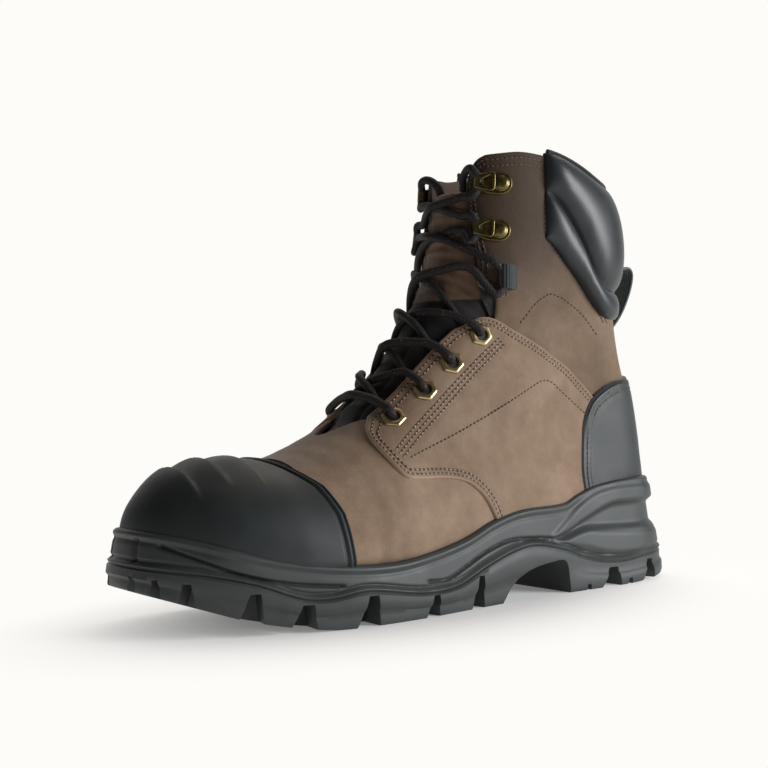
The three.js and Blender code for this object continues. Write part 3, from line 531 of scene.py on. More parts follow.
# a panel cut to a pattern and laid on a form, with its edge rounded over
def panel(name, loop, place, low, high, material, spacing=1.6, edge=0.7, relief=None, holes=(),
          stands=(), bothSides=False):
    rowsIn = (0.3 * edge, 0.75 * edge, 1.35 * edge)
    flat, triangles, depth = patternFill(loop, spacing, rowsIn, holes)
    over = np.clip(1 - depth / edge, 0, 1)
    top = high - edge * (1 - np.sqrt(1 - over**2)) * 0.9
    if relief is not None:
        top = top + relief(flat) * smoothStep(depth, 0, 3)
    count = len(flat)
    under = low + (high - top if bothSides else np.zeros(count))
    upper = place(flat, top)
    lower = place(flat, under)
    walls = [(a, b, b + count, a + count) for a, b in rimEdges(triangles)]
    faces = [*triangles.tolist(), *(triangles[:, ::-1] + count).tolist(), *walls]
    cut = np.concatenate([np.clip(1 - depth / (0.8 * edge), 0, 1), np.ones(count)])
    return finishMesh(name, np.vstack([upper, lower]), faces, material, stands,
                      flat=np.vstack([flat, flat]), cut=cut)


def gridFaces(rows, columns, wrapRows=False, wrapColumns=False):
    i = np.arange(rows if wrapRows else rows - 1)
    j = np.arange(columns if wrapColumns else columns - 1)
    i, j = np.meshgrid(i, j, indexing="ij")
    i, j = i.ravel(), j.ravel()
    i2, j2 = (i + 1) % rows, (j + 1) % columns
    return np.stack([i * columns + j, i * columns + j2, i2 * columns + j2, i2 * columns + j], 1)


# a closed sheet from a grid of outer points and the same grid inside
def gridSheet(name, outer, inner, material, stands=(), sharp=40):
    rows, columns = outer.shape[:2]
    count = rows * columns
    faces = gridFaces(rows, columns)
    grid = np.arange(count).reshape(rows, columns)
    rim = [*grid[0], *grid[1:, -1], *grid[-1, -2::-1], *grid[-2:0:-1, 0]]
    walls = [(a, b, b + count, a + count) for a, b in zip(rim, rim[1:] + rim[:1])]
    every = [*faces.tolist(), *(faces[:, ::-1] + count).tolist(), *walls]
    points = np.vstack([outer.reshape(-1, 3), inner.reshape(-1, 3)])
    return finishMesh(name, points, every, material, stands, sharp)


# rings of a round or oval cord through points, and how far along each one is
def tube(points, across, deep, sides=12, pitch=1.2):
    line = smoothLine(points, pitch)
    ahead = unit(np.gradient(line, axis=0))
    out = np.zeros_like(line)
    upright = np.array([0.0, 0.0, 1.0])
    current = unit(upright - ahead[0] * (upright @ ahead[0]))
    for i, direction in enumerate(ahead):
        current = unit(current - direction * (current @ direction))
        out[i] = current
    side = np.cross(ahead, out)
    turn = np.linspace(0, 2 * np.pi, sides, endpoint=False)
    sideways = side[:, None] * (np.cos(turn) * across / 2)[:, None]
    rings = line[:, None] + sideways + out[:, None] * (np.sin(turn) * deep / 2)[:, None]
    return rings, farAlong(line)


# rings joined lengthwise, with a fan of faces closing each end
def cappedRings(rings):
    rows, sides = rings.shape[:2]
    faces = gridFaces(rows, sides, wrapColumns=True).tolist()
    points = np.vstack([rings.reshape(-1, 3), rings[:1].mean(1), rings[-1:].mean(1)])
    first, final, base = rows * sides, rows * sides + 1, (rows - 1) * sides
    faces += [(first, (j + 1) % sides, j) for j in range(sides)]
    faces += [(final, base + j, base + (j + 1) % sides) for j in range(sides)]
    return points, faces


def tubeMesh(name, rings, far, material, stands=()):
    sides = rings.shape[1]
    points, faces = cappedRings(rings)
    piece = finishMesh(name, points, faces, material, stands, sharp=80)
    wrap = np.stack(np.broadcast_arrays(far[:, None], np.arange(sides)[None] / sides), -1).reshape(-1, 2)
    wrap = np.vstack([wrap, [[far[0], 0.5], [far[-1], 0.5]]])
    mesh = piece.data
    layer = mesh.uv_layers.new(name="UVMap")
    for face in mesh.polygons:
        around = [wrap[mesh.loops[k].vertex_index].copy() for k in face.loop_indices]
        if max(w[1] for w in around) - min(w[1] for w in around) > 0.6:
            for w in around:
                w[1] += 1.0 if w[1] < 0.5 else 0.0
        for k, w in zip(face.loop_indices, around):
            layer.data[k].uv = (w[0] * mm, w[1])
    return piece


# materials
def leatherMaterial(name, lit, mid, deep, rub):
    # oiled nubuck: buffed grain side, nearly matt, mottled by oil, paler where it was bent or rubbed
    material, shader = newMaterial(name, Roughness=0.72, Sheen_Weight=0.12, Sheen_Roughness=0.5)
    shader.inputs["Specular IOR Level"].default_value = 0.32
    place = objectPlace(material)
    # oil mottling about 25 mm wide, a finer one about 6 mm wide
    clouds = noiseNode(material, place, 40, 5, 0.55)
    smudge = noiseNode(material, place, 160, 4, 0.6)
    colour = rampNode(material, clouds, [(0.32, deep), (0.5, mid), (0.68, lit)])
    shade = rampNode(material, smudge, [(0.3, 0.42), (0.7, 0.58)])
    toned = mixNode(material, 0.3, colour, shade, blend_type="OVERLAY")
    # nap fibres about 0.5 mm, drawn a little coarser than real so that they show
    nap = noiseNode(material, place, 1500, 3, 0.7)
    specks = rampNode(material, nap, [(0.3, 0.4), (0.7, 0.6)])
    dusted = mixNode(material, 0.45, toned, specks, blend_type="OVERLAY")
    # the cut edge of the hide is paler than its face
    edge = addNode(material, "ShaderNodeAttribute", attribute_name="cutEdge").outputs["Fac"]
    worn = rampNode(material, edge, [(0.15, 0.0), (0.7, 0.85)])
    joinNodes(material, mixNode(material, worn, dusted, toLinear(rub)), shader.inputs["Base Color"])
    # pores and creases of the hide, cells about 1.1 mm across
    pores = addNode(material, "ShaderNodeTexVoronoi", {"Vector": place, "Scale": 900}, feature="DISTANCE_TO_EDGE")
    creased = rangeNode(material, pores.outputs["Distance"], 0, 0.18)
    lumps = bumpNode(material, noiseNode(material, place, 110, 4), 0.25, 0.0012)
    hide = bumpNode(material, creased, 0.16, 0.0003, lumps)
    fibres = bumpNode(material, nap, 0.3, 0.0003, hide)
    joinNodes(material, fibres, shader.inputs["Normal"])
    return material


def shaftMaterial():
    # the quarters' oiled hide with painted shade: a darker copy, and darker still towards the top and the hooks
    material = leatherMaterial("shaftNubuckPaintedShade", "#715d4a", "#67533f", "#5b4836", "#a08871")
    shader = material.node_tree.nodes["Principled BSDF"]
    hide = shader.inputs["Base Color"].links[0].from_socket
    # painted shade: the hide darkens towards the top and the front of the shaft
    split = splitOf(material, objectPlace(material))
    up = rangeNode(material, split["Z"], 0.125, 0.185, interpolation_type="SMOOTHSTEP")
    ahead = rangeNode(material, split["Y"], 0.0, -0.05, interpolation_type="SMOOTHSTEP")
    share = mathNode(material, "MULTIPLY", mathNode(material, "MULTIPLY", up, ahead), 0.82)
    joinNodes(material, mixNode(material, share, hide, toLinear("#291a0c")), shader.inputs["Base Color"])
    return material


def tongueMaterial():
    # the shaft's hide on the upper part of the tongue; black below it, partly the tongue's black cloth and partly
    # painted shade deep in the throat
    material = leatherMaterial("tongueNubuck", "#7d6553", "#6f5846", "#5f4b3b", "#7d6553")
    shader = material.node_tree.nodes["Principled BSDF"]
    brown = shader.inputs["Base Color"].links[0].from_socket
    split = splitOf(material, objectPlace(material))
    # black below 150 mm: the tongue's own cloth, and painted shade in the throat
    above = rangeNode(material, split["Z"], 0.1495, 0.1505)
    joinNodes(material, mixNode(material, above, toLinear("#161211"), brown), shader.inputs["Base Color"])
    return material


def rubberMaterial(name, dark, pale, roughness, grit):
    # moulded rubber: matt, with the fine texture of a blasted mould
    material, shader = newMaterial(name, Roughness=roughness)
    shader.inputs["Specular IOR Level"].default_value = 0.4
    place = objectPlace(material)
    dust = noiseNode(material, place, 55, 6, 0.6)
    joinNodes(material, rampNode(material, dust, [(0.3, dark), (0.72, pale)]), shader.inputs["Base Color"])
    # blasted grain of about 0.4 mm
    grain = bumpNode(material, noiseNode(material, place, 2200, 2), grit, 0.0002)
    joinNodes(material, grain, shader.inputs["Normal"])
    gloss = rangeNode(material, dust, 0.3, 0.7, roughness - 0.07, roughness + 0.08)
    joinNodes(material, gloss, shader.inputs["Roughness"])
    return material


def padMaterial():
    # soft coated leather over foam: fine grain with a satin finish, blue-grey where the light lies on it
    material, shader = newMaterial("paddedLeather", Roughness=0.42)
    shader.inputs["Specular IOR Level"].default_value = 0.5
    place = objectPlace(material)
    colour = rampNode(material, noiseNode(material, place, 70, 5), [(0.3, "#1b1f21"), (0.7, "#272c2f")])
    joinNodes(material, colour, shader.inputs["Base Color"])
    # pebbled grain about 0.9 mm across
    cells = addNode(material, "ShaderNodeTexVoronoi", {"Vector": place, "Scale": 1100}, feature="SMOOTH_F1")
    pebble = bumpNode(material, cells.outputs["Distance"], 0.12, 0.0003)
    joinNodes(material, pebble, shader.inputs["Normal"])
    return material


def clothMaterial(name, dark, pale, scale):
    # woven or brushed textile: no gloss, soft sheen at grazing light
    material, shader = newMaterial(name, Roughness=0.95, Sheen_Weight=0.3)
    yarn = addNode(material, "ShaderNodeTexVoronoi", {"Vector": objectPlace(material), "Scale": scale}, feature="F1")
    distance = yarn.outputs["Distance"]
    joinNodes(material, rampNode(material, distance, [(0.1, pale), (0.7, dark)]), shader.inputs["Base Color"])
    joinNodes(material, bumpNode(material, distance, 0.5, 0.0004, invert=True), shader.inputs["Normal"])
    return material


def brassMaterial():
    # antiqued brass: plated steel darkened in its recesses and rubbed bright on its edges
    material, shader = newMaterial("antiqueBrass", Metallic=1.0, Roughness=0.36)
    stain = noiseNode(material, objectPlace(material), 420, 4, 0.65)
    colour = rampNode(material, stain, [(0.25, "#3d341d"), (0.5, "#5d5230"), (0.75, "#7d7044")])
    edge = addNode(material, "ShaderNodeNewGeometry").outputs["Pointiness"]
    rubbed = rampNode(material, edge, [(0.5, 0.0), (0.62, 1.0)])
    joinNodes(material, mixNode(material, rubbed, colour, toLinear("#a8996a")), shader.inputs["Base Color"])
    joinNodes(material, rangeNode(material, stain, 0, 1, 0.22, 0.5), shader.inputs["Roughness"])
    return material


def eyeletMaterial():
    # eyelets rubbed bright by the laces
    material, shader = newMaterial("paleBrass", Metallic=1.0, Roughness=0.3)
    shader.inputs["Base Color"].default_value = toLinear("#c3ae82")
    return material


def laceMaterial():
    # round braided polyester: strands cross at about 2 mm, with a few rusty and pale flecks
    material, shader = newMaterial("braidedLace", Roughness=0.75)
    split = splitOf(material, addNode(material, "ShaderNodeTexCoord").outputs["UV"])
    waves = []
    for sign in (1, -1):
        along = mathNode(material, "MULTIPLY", split["X"], 1 / 0.0022)
        around = mathNode(material, "MULTIPLY", split["Y"], 6.0 * sign)
        turns = mathNode(material, "MULTIPLY", mathNode(material, "ADD", along, around), 2 * math.pi)
        waves.append(mathNode(material, "SINE", turns))
    braid = mathNode(material, "MAXIMUM", *waves)
    joinNodes(material, bumpNode(material, braid, 0.3, 0.0003), shader.inputs["Normal"])
    fleck = noiseNode(material, objectPlace(material), 900, 1)
    colour = rampNode(material, fleck, [(0.0, "#0a0706"), (0.6, "#110c0a"), (0.7, "#2b1c19"), (0.8, "#6a5c57")])
    joinNodes(material, colour, shader.inputs["Base Color"])
    return material


def webbingMaterial(name, direction, dark, pale):
    # ribbed webbing, ribs 1.4 mm apart, along the strap or over it
    material, shader = newMaterial(name, Roughness=0.8, Sheen_Weight=0.2)
    split = splitOf(material, addNode(material, "ShaderNodeTexCoord").outputs["UV"])
    turns = mathNode(material, "MULTIPLY", split[direction], 2 * math.pi / 0.0014)
    ribs = mathNode(material, "SINE", turns)
    colour = rampNode(material, rangeNode(material, ribs, -1, 1), [(0.2, dark), (0.8, pale)])
    joinNodes(material, colour, shader.inputs["Base Color"])
    joinNodes(material, bumpNode(material, ribs, 0.5, 0.0003), shader.inputs["Normal"])
    return material


def threadMaterial(name, colour, other):
    # waxed polyester thread
    material, shader = newMaterial(name, Roughness=0.6)
    tone = noiseNode(material, objectPlace(material), 260, 2)
    joinNodes(material, rampNode(material, tone, [(0.35, colour), (0.65, other)]), shader.inputs["Base Color"])
    return material


brownLeather = leatherMaterial("brownNubuck", "#856f5b", "#7b6551", "#715b47", "#ac937d")
shaftLeather = shaftMaterial()
tongueLeather = tongueMaterial()
capRubber = rubberMaterial("capRubber", "#1d2122", "#24292a", 0.55, 0.1)
heelRubber = rubberMaterial("heelRubber", "#282c2c", "#2f3434", 0.5, 0.08)
soleRubber = rubberMaterial("soleRubber", "#2f3332", "#3a3e3d", 0.5, 0.14)
paddedLeather = padMaterial()
gussetCloth = clothMaterial("gussetCloth", "#0b0b0c", "#18191a", 1600)
liningCloth = clothMaterial("liningCloth", "#1a1a1a", "#333333", 900)
insoleCloth = clothMaterial("insoleCloth", "#242424", "#484848", 700)
antiqueBrass = brassMaterial()
paleBrass = eyeletMaterial()
braidedLace = laceMaterial()
# the pull loop's grey webbing, painted paler as light on its face that turns away from the lamps
ribbedWebbingWithPaintedLight = webbingMaterial("ribbedWebbingWithPaintedLight", "Y", "#454b49", "#565d5b")
loopWebbing = webbingMaterial("loopWebbing", "X", "#080d0d", "#1b2626")
tanThread = threadMaterial("tanThread", "#80624d", "#a78a74")
shaftThread = threadMaterial("shaftThread", "#4a3428", "#6a4f3f")
darkThread = threadMaterial("darkThread", "#4b4440", "#625a55")
# painted shade for needle holes and eyelet bores; also the dark thread of the scroll lines
needleHole = threadMaterial("needleHole", "#1d120d", "#26180f")
print("materials made")

# the sole: an outline, the lines that part its layers, and the steps of its side
sole = {
    "length": 312,
    "behindHeel": 42,
    "width": 112,
    "height": 55,
    "toeRound": 48,
    "heelRound": 38,
    "toeTurn": 8,
    # along lateral medial
    "outline": [
        [0, 0.375, 0.375], [0.14, 0.395, 0.395], [0.25, 0.4, 0.39], [0.38, 0.425, 0.38], [0.5, 0.465, 0.392],
        [0.6, 0.505, 0.45], [0.69, 0.515, 0.485], [0.76, 0.495, 0.485], [0.83, 0.46, 0.467],
        [0.91, 0.42, 0.44], [1, 0.37, 0.4],
    ],
    # along up
    "rimLine": [
        [0, 1], [0.11, 1], [0.2, 0.96], [0.25, 0.88], [0.28, 0.82], [0.38, 0.8], [0.44, 0.73], [0.5, 0.61],
        [0.57, 0.53], [0.65, 0.485], [0.75, 0.52], [0.83, 0.6], [0.9, 0.71], [0.95, 0.79], [1, 0.85],
    ],
    "waveLine": [
        [0, 0.29], [0.11, 0.25], [0.16, 0.225], [0.21, 0.25], [0.25, 0.31], [0.29, 0.39], [0.36, 0.465],
        [0.41, 0.43], [0.47, 0.33], [0.53, 0.21], [0.6, 0.2], [0.7, 0.28], [0.76, 0.245], [0.8, 0.27],
        [0.86, 0.4], [0.93, 0.5], [1, 0.56],
    ],
    "treadLine": [
        [0, 0.12], [0.05, 0.045], [0.12, 0.01], [0.17, 0], [0.73, 0], [0.79, 0.035], [0.87, 0.13],
        [0.93, 0.24], [1, 0.38],
    ],
    "ringPoints": 700,
    "sideRows": 54,
    "rimTop": 6,
    "cupWall": 10,
    "cupFloor": 6,
}

# grooves and ribs of the side, as y and z
soleLines = {
    "foreGroove": [(-262, 40), (-250, 34.5), (-231.9, 27), (-212.9, 22.3), (-194.9, 19.8), (-188.3, 19.1)],
    "waistGroove": [
        (-140.9, 16.3), (-128.8, 15.9), (-115.5, 20.8), (-102.6, 26), (-86.3, 29.9), (-70.3, 29.5), (-58, 28.5)],
    "ribOneUpper": [(-58, 28.5), (-42, 39), (-28.6, 46.9), (-12.1, 50.6), (15, 51), (60, 51)],
    "ribOneLower": [(-57, 28), (-46.3, 30.3), (-29, 36.9), (-12.5, 42.2), (4.2, 42.8), (60, 42.8)],
    "recessLower": [(-55, 28), (-47.3, 28), (-31.4, 31.4), (-17.8, 31), (10, 30), (60, 30)],
    "ribThreeUpper": [(-55, 26.5), (-47.3, 26.9), (-31.4, 29.8), (-17.8, 28.4), (10, 26.6), (60, 26.6)],
    "ribThreeLower": [(-52, 25), (-31.5, 21.5), (-18.2, 18), (4.6, 16.4), (60, 16.4)],
}


def readAlong(rows, column, along):
    rows = np.asarray(rows, float)
    at = rows[:, 0]
    along = np.clip(along, at[0], at[-1])
    i = np.clip(np.searchsorted(at, along, side="right") - 1, 0, len(rows) - 2)
    ids = np.arange(len(rows))
    before, after = np.maximum(ids - 1, 0), np.minimum(ids + 1, len(rows) - 1)
    slope = (rows[after, column] - rows[before, column]) / (at[after] - at[before])
    span = at[i + 1] - at[i]
    t = (along - at[i]) / span
    rise = (rows[i + 1, column] - rows[i, column]) * t * t * (3 - 2 * t)
    return rows[i, column] + rise + t * (1 - t) * span * ((1 - t) * slope[i] - t * slope[i + 1])


def soleAlong(y):
    return (sole["behindHeel"] - y) / sole["length"]


def soleUp(line, y):
    return readAlong(sole[line], 1, soleAlong(y)) * sole["height"]


def soleEdge(angle):
    along = (1 + np.cos(angle)) / 2
    side = np.where(np.sin(angle) < 0, -1.0, 1.0)
    half = np.where(side > 0, readAlong(sole["outline"], 1, along), readAlong(sole["outline"], 2, along))
    ends = rounded((1 - along) * sole["length"] / sole["toeRound"], 2.3)
    ends = ends * rounded(along * sole["length"] / sole["heelRound"], 2.3)
    turned = -sole["toeTurn"] * np.clip((along - 0.69) / 0.31, 0, 1) ** 2
    x = turned + side * half * sole["width"] * ends
    return np.stack([x, sole["behindHeel"] - along * sole["length"]], -1)


# angles in even steps round the lateral side, and the same ones back round the medial side
def soleAngles():
    dense = np.linspace(0, np.pi, 3000)
    edge = soleEdge(dense)
    far = farAlong(edge)
    half = np.interp(np.linspace(0, far[-1], sole["ringPoints"] // 2 + 1), far, dense)
    return np.concatenate([half, -half[-2:0:-1]])


soleRound = soleAngles()
soleOuter = soleEdge(soleRound)
soleAhead = unit(np.roll(soleOuter, -1, 0) - np.roll(soleOuter, 1, 0))
soleOutward = np.stack([soleAhead[:, 1], -soleAhead[:, 0]], 1)
soleOutward *= np.sign(np.sum(soleOutward * (soleOuter - soleOuter.mean(0)), 1).mean())


def soleRing(inset):
    return soleOuter - soleOutward * np.asarray(inset, float)[..., None]


def band(points, upper, lower, height, soft):
    loop = np.vstack([smoothLine(upper, 3), smoothLine(lower, 3)[::-1]])
    depth = distanceTo(points, np.vstack([loop, loop[:1]]))
    depth = np.where(insideOf(points, loop), depth, -depth)
    return height * smoothStep(depth, -soft, soft)


def groove(points, line, depth, width):
    return -depth * np.exp(-((distanceTo(points, smoothLine(line, 3)) / width) ** 2))


def ladder(ring, count):
    half = count // 2
    return [(ring + i, ring + i + 1, ring + (count - i - 1) % count, ring + (count - i) % count)
            for i in range(1, half - 1)] + [
        (ring, ring + 1, ring + count - 1), (ring + half - 1, ring + half, ring + (half + 1) % count)]


def stackRings(name, rings, material, stands, sharp=35):
    count = rings.shape[1]
    faces = gridFaces(len(rings), count, wrapColumns=True).tolist()
    faces += [face[::-1] for face in ladder(0, count)] + ladder((len(rings) - 1) * count, count)
    return finishMesh(name, rings.reshape(-1, 3), faces, material, stands, sharp)


def midsoleRelief(flat, along):
    relief = groove(flat, soleLines["foreGroove"], 1.9, 0.75)
    relief += groove(flat, soleLines["waistGroove"], 1.7, 0.75)
    relief += band(flat, soleLines["ribOneUpper"], soleLines["ribOneLower"], 1.2, 1.6)
    relief += band(flat, soleLines["ribOneLower"], soleLines["recessLower"], -2.3, 2.2)
    relief += band(flat, soleLines["ribThreeUpper"], soleLines["ribThreeLower"], 0.9, 1.8)
    # the rim is a rolled edge, from the toe to the waist
    under = soleUp("rimLine", flat[:, 0]) - flat[:, 1]
    forward = smoothStep(along, 0.2, 0.32)
    relief += 0.5 * forward * np.exp(-(((under - 1.8) / 1.3) ** 2))
    relief -= 0.5 * forward * np.exp(-(((under - 4.2) / 1.2) ** 2))
    # a bead over the line where the lug layer starts, and a groove over the bead
    over = flat[:, 1] - soleUp("waveLine", flat[:, 0])
    relief += 0.9 * np.exp(-(((over - 1.4) / 0.8) ** 2)) - 0.8 * np.exp(-(((over - 3.4) / 0.7) ** 2))
    return relief


# upright gaps between the blocks of the toe's bumper, as places across and the heights they span
def bumperGaps(ring, z, low, high):
    gap = np.zeros(len(ring))
    for x in (5.5, -21.5):
        gap += np.exp(-(((ring[:, 0] - x) / 1.3) ** 2)) * (ring[:, 1] < -250)
    return 2.2 * gap * smoothStep(z, low, low + 1.5) * (1 - smoothStep(z, high - 1.5, high))


def makeMidsole():
    y = soleOuter[:, 1]
    along = soleAlong(y)
    wave, rim = soleUp("waveLine", y), soleUp("rimLine", y)
    heel = 1 - smoothStep(along, 0.24, 0.33)
    rings = []
    for share in np.linspace(0, 1, sole["sideRows"]):
        z = mix(wave, rim - 1.1, share)
        inset = mix(mix(1.9, 3.0, share), mix(2.6, 4.4, share), heel) + 4 * share * smoothStep(y, 11, 40)
        inset = inset + mix(0.8, 2.6, share) * smoothStep(along, 0.86, 0.98)
        inset = inset - midsoleRelief(np.stack([y, z], 1), along)
        inset = inset + bumperGaps(soleOuter, z, wave + 1.5, rim - 3)
        rings.append(np.column_stack([soleRing(inset), z]))
    top = mix(3.0, 4.4, heel) + 4 * smoothStep(y, 11, 40) + 2.6 * smoothStep(along, 0.86, 0.98)
    for inset, up in ((0.35, -0.5), (0.9, -0.15), (1.6, 0.0), (sole["rimTop"], 0.2)):
        rings.append(np.column_stack([soleRing(top + inset), rim + up]))
    deep = np.maximum(wave + sole["cupFloor"], rim - 22)
    rings.append(np.column_stack([soleRing(top + sole["cupWall"] - 3), rim - 2]))
    rings.append(np.column_stack([soleRing(top + sole["cupWall"] - 1), deep]))
    rings.append(np.column_stack([soleRing(top + sole["cupWall"] + 1), deep]))
    stackRings("midsole", np.array(rings), soleRubber, ["midsole"])


# where the tread is cut: along, width, depth, rise
tread = {
    "notches": [
        [0.03, 0.1, 0.8, 0.8], [0.1, 0.12, 1, 0.86], [0.192, 0.16, 1, 0.8], [0.487, 0.09, 1, 1.0],
        [0.583, 0.1, 1, 0.98], [0.7, 0.13, 1, 0.94], [0.8, 0.14, 1, 0.86], [0.872, 0.13, 1, 0.78],
        [0.95, 0.11, 1, 0.72], [0.979, 0.08, 0.9, 0.7], [0.996, 0.08, 0.9, 0.7],
    ],
    "slits": [0.147, 0.242],
    "slitWidth": 5,
    "notchDepth": 17,
    "channelDepth": 5,
    "channelSweep": 5,
    "lastChannel": 0.9,
    "below": 6,
    "slitRise": (3.2, 2.6),
    "arch": [
        (-96.75, -9), (-92, 1.7), (-84, 9.9), (-73, 15), (-59, 17), (-49.5, 16.5), (-47, 8), (-45.7, -9)],
}


def box8(corners):
    return corners, [(0, 1, 2, 3), (7, 6, 5, 4), (0, 4, 5, 1), (1, 5, 6, 2), (2, 6, 7, 3), (3, 7, 4, 0)]


# a bar across the sole between two places, each an x, y, low and roof; it narrows upwards
def crossBar(places, half, taper):
    corners = []
    for x, y, low, roof in places:
        under = low - tread["below"]
        corners += [(x, y - half, under), (x, y + half, under)]
        corners += [(x, y + half * taper, roof), (x, y - half * taper, roof)]
    return box8(corners)


# a wedge cut in from the edge: nearly upright behind, slanted ahead, closing to a point on top
def notchCutter(side, along, half, depth, low, top):
    angle = np.arccos(2 * along - 1)
    about = soleEdge(side * angle + np.array([-0.02, 0, 0.02]))
    middle, tangent = about[1], unit(about[2] - about[0])
    tangent = tangent * (1 if tangent[1] >= 0 else -1)
    normal = np.array([tangent[1], -tangent[0]])
    normal = normal * (1 if normal @ (middle - np.array([0, -110])) > 0 else -1)

    def corner(out, reach, z):
        return (*(middle + normal * out + tangent * reach * half), z)

    outer, inner = 6, -depth * tread["notchDepth"]
    under, roof = low - tread["below"], mix(low, top, 0.85)
    return box8([
        corner(outer, -1.3, under), corner(outer, 1.0, under), corner(outer, 0.7, top), corner(outer, 0.05, top),
        corner(inner, -0.9, under), corner(inner, 0.9, under), corner(inner, 0.6, roof), corner(inner, -0.1, roof),
    ])


def treadCutters():
    shapes = []
    for along, width, depth, rise in tread["notches"]:
        y = sole["behindHeel"] - along * sole["length"]
        low, wave = float(soleUp("treadLine", y)), float(soleUp("waveLine", y))
        half = width * sole["width"] / 2
        for side in (1, -1):
            shapes.append(notchCutter(side, along, half, depth, low, mix(low, wave, rise)))
        if along > tread["lastChannel"]:
            continue
        # a channel runs on from the notch to the middle, swept towards the toe
        for side in (1, -1):
            edge = soleEdge(np.array([np.arccos(2 * along - 1) * side]))[0, 0]
            roof = low + tread["channelDepth"]
            ends = [(-side * 1.5, y - tread["channelSweep"], low, roof), (edge - side * 6, y, low, roof)]
            shapes.append(crossBar(ends, half * 0.55, 0.7))
    for along in tread["slits"]:
        y = sole["behindHeel"] - along * sole["length"]
        low = float(soleUp("treadLine", y))
        near, deep = tread["slitRise"]
        for side in (1, -1):
            edge = soleEdge(np.array([np.arccos(2 * along - 1) * side]))[0, 0]
            ends = [(edge + side * 5, y, low, low + near), (edge - side * 13, y, low, low + deep)]
            shapes.append(crossBar(ends, tread["slitWidth"] / 2, 0.5))
    # two lengthwise channels under the forefoot and one under the heel
    for start, end, x0, x1 in ((-243, -104, 11, 20), (-243, -104, -25, -16), (-38, 30, 0, 0)):
        corners = []
        for x, y in ((x0, start), (x1, end)):
            low = float(soleUp("treadLine", float(y)))
            under, roof = low - tread["below"], low + 4
            corners += [(x - 3, y, under), (x + 3, y, under), (x + 2, y, roof), (x - 2, y, roof)]
        shapes.append(box8(corners))
    arch = smoothLine(tread["arch"], 2.5)
    count = len(arch)
    corners = [(-90, y, z) for y, z in arch] + [(90, y, z) for y, z in arch]
    faces = [tuple(range(count)), tuple(range(2 * count - 1, count - 1, -1))]
    faces += [(i, i + count, (i + 1) % count + count, (i + 1) % count) for i in range(count)]
    shapes.append((corners, faces))
    return shapes


def joinedMesh(name, shapes):
    points, faces = [], []
    for corners, sides in shapes:
        faces += [tuple(len(points) + k for k in side) for side in sides]
        points += corners
    return plainMesh(name, points, faces)


def useModifier(piece, kind, **settings):
    modifier = piece.modifiers.new(kind.lower(), kind)
    for name, value in settings.items():
        setattr(modifier, name, value)
    selectOnly(piece)
    bpy.ops.object.modifier_apply(modifier=modifier.name)


def makeOutsole():
    y = soleOuter[:, 1]
    wave, low = soleUp("waveLine", y) + 0.2, soleUp("treadLine", y)
    heel = 1 - smoothStep(soleAlong(y), 0.24, 0.33)
    bottom, top = mix(1.6, 0.4, heel), mix(0.2, 1.6, heel)
    rings = []
    for share in (0, 0.03, 0.12, 0.3, 0.45, 0.52, 0.6, 0.8, 0.93, 1):
        z = mix(low, wave, share)
        inset = mix(bottom, top, smoothStep(share, 0.42, 0.6)) + (0.9 if share == 0 else 0)
        inset = inset + (0.9 if share == 1 else 0) + (0.35 if share == 0.03 else 0)
        inset = inset + 1.6 * share * smoothStep(soleAlong(y), 0.88, 0.98)
        rings.append(np.column_stack([soleRing(inset), z]))
    piece = stackRings("outsole", np.array(rings), soleRubber, ["outsole"])
    cutter = joinedMesh("treadCutter", treadCutters())
    useModifier(piece, "BOOLEAN", operation="DIFFERENCE", object=cutter, solver="EXACT", use_self=True)
    bpy.data.objects.remove(cutter)
    useModifier(piece, "BEVEL", width=0.5 * mm, segments=2, limit_method="ANGLE",
                angle_limit=math.radians(38))
    dress(piece, soleRubber, sharp=38)


makeMidsole()
makeOutsole()
print("sole made")

# the upper: vamp, quarters and shaft over one hollow form, with a lining inside
leather = {
    "wall": 1.6,
    "quarterStep": 1.7,
    "liningStart": -2.7,
    "liningEnd": -1.7,
    "wrapRadius": 40,
    "throatEdge": [
        (3.85, 0.06), (3.95, 0.13), (4.15, 0.165), (5, 0.172), (6, 0.185), (7, 0.208), (8, 0.235), (8.6, 0.262),
        (9.1, 0.27), (9.6, 0.245), (10.2, 0.233), (12, 0.2), (14, 0.165), (15.2, 0.158), (16, 0.2)],
    # quarter panel from the side, as y and z, after the throat edge
    "quarterFront": [
        (-153.6, 86.6), (-155.2, 81.5), (-153.4, 75), (-149.8, 68), (-145.7, 64.2), (-137.9, 63.2),
        (-124.4, 62.8), (-111.9, 60.7), (-103.9, 56.2), (-98.3, 50.5), (-94.1, 43), (-91.9, 36), (-91.5, 17)],
    "quarterTop": [
        (-12, 92), (-18.2, 98.9), (-27, 106.8), (-36, 114.5), (-47.2, 121.4), (-58, 127.6), (-69.5, 133.7),
        (-74.5, 137), (-80, 139.8), (-85.5, 140.4), (-90.2, 138.4)],
    # front edge of the shaft, as height and distance from the middle
    "shaftFront": [
        (118, 27.5), (133, 29.4), (146, 30.2), (151, 30), (154.2, 27.6), (157, 25.4), (162, 24.4),
        (168.7, 24.2), (176, 22.6), (185.4, 20.4), (198.6, 16.9), (209, 15.9), (216.6, 17.4), (221.5, 20.2), (223.8, 24)],
    "topLine": [(224.2, 29.5), (224.7, 34.3)],
}


def throatWidth(station):
    rows = leather["throatEdge"]
    return np.interp(station, [row[0] for row in rows], [row[1] for row in rows]) * last["ballWidth"]


def sidePlace(side):
    return lambda flat, lift: onLast(*fromSide(side, flat[:, 0], flat[:, 1]), lift)


# the back half unrolled: distance round the back of the heel, and height
def wrapPlace(flat, lift):
    angle = np.pi + flat[:, 0] / leather["wrapRadius"]
    return onLast(atHeight(flat[:, 1], angle), angle, lift)


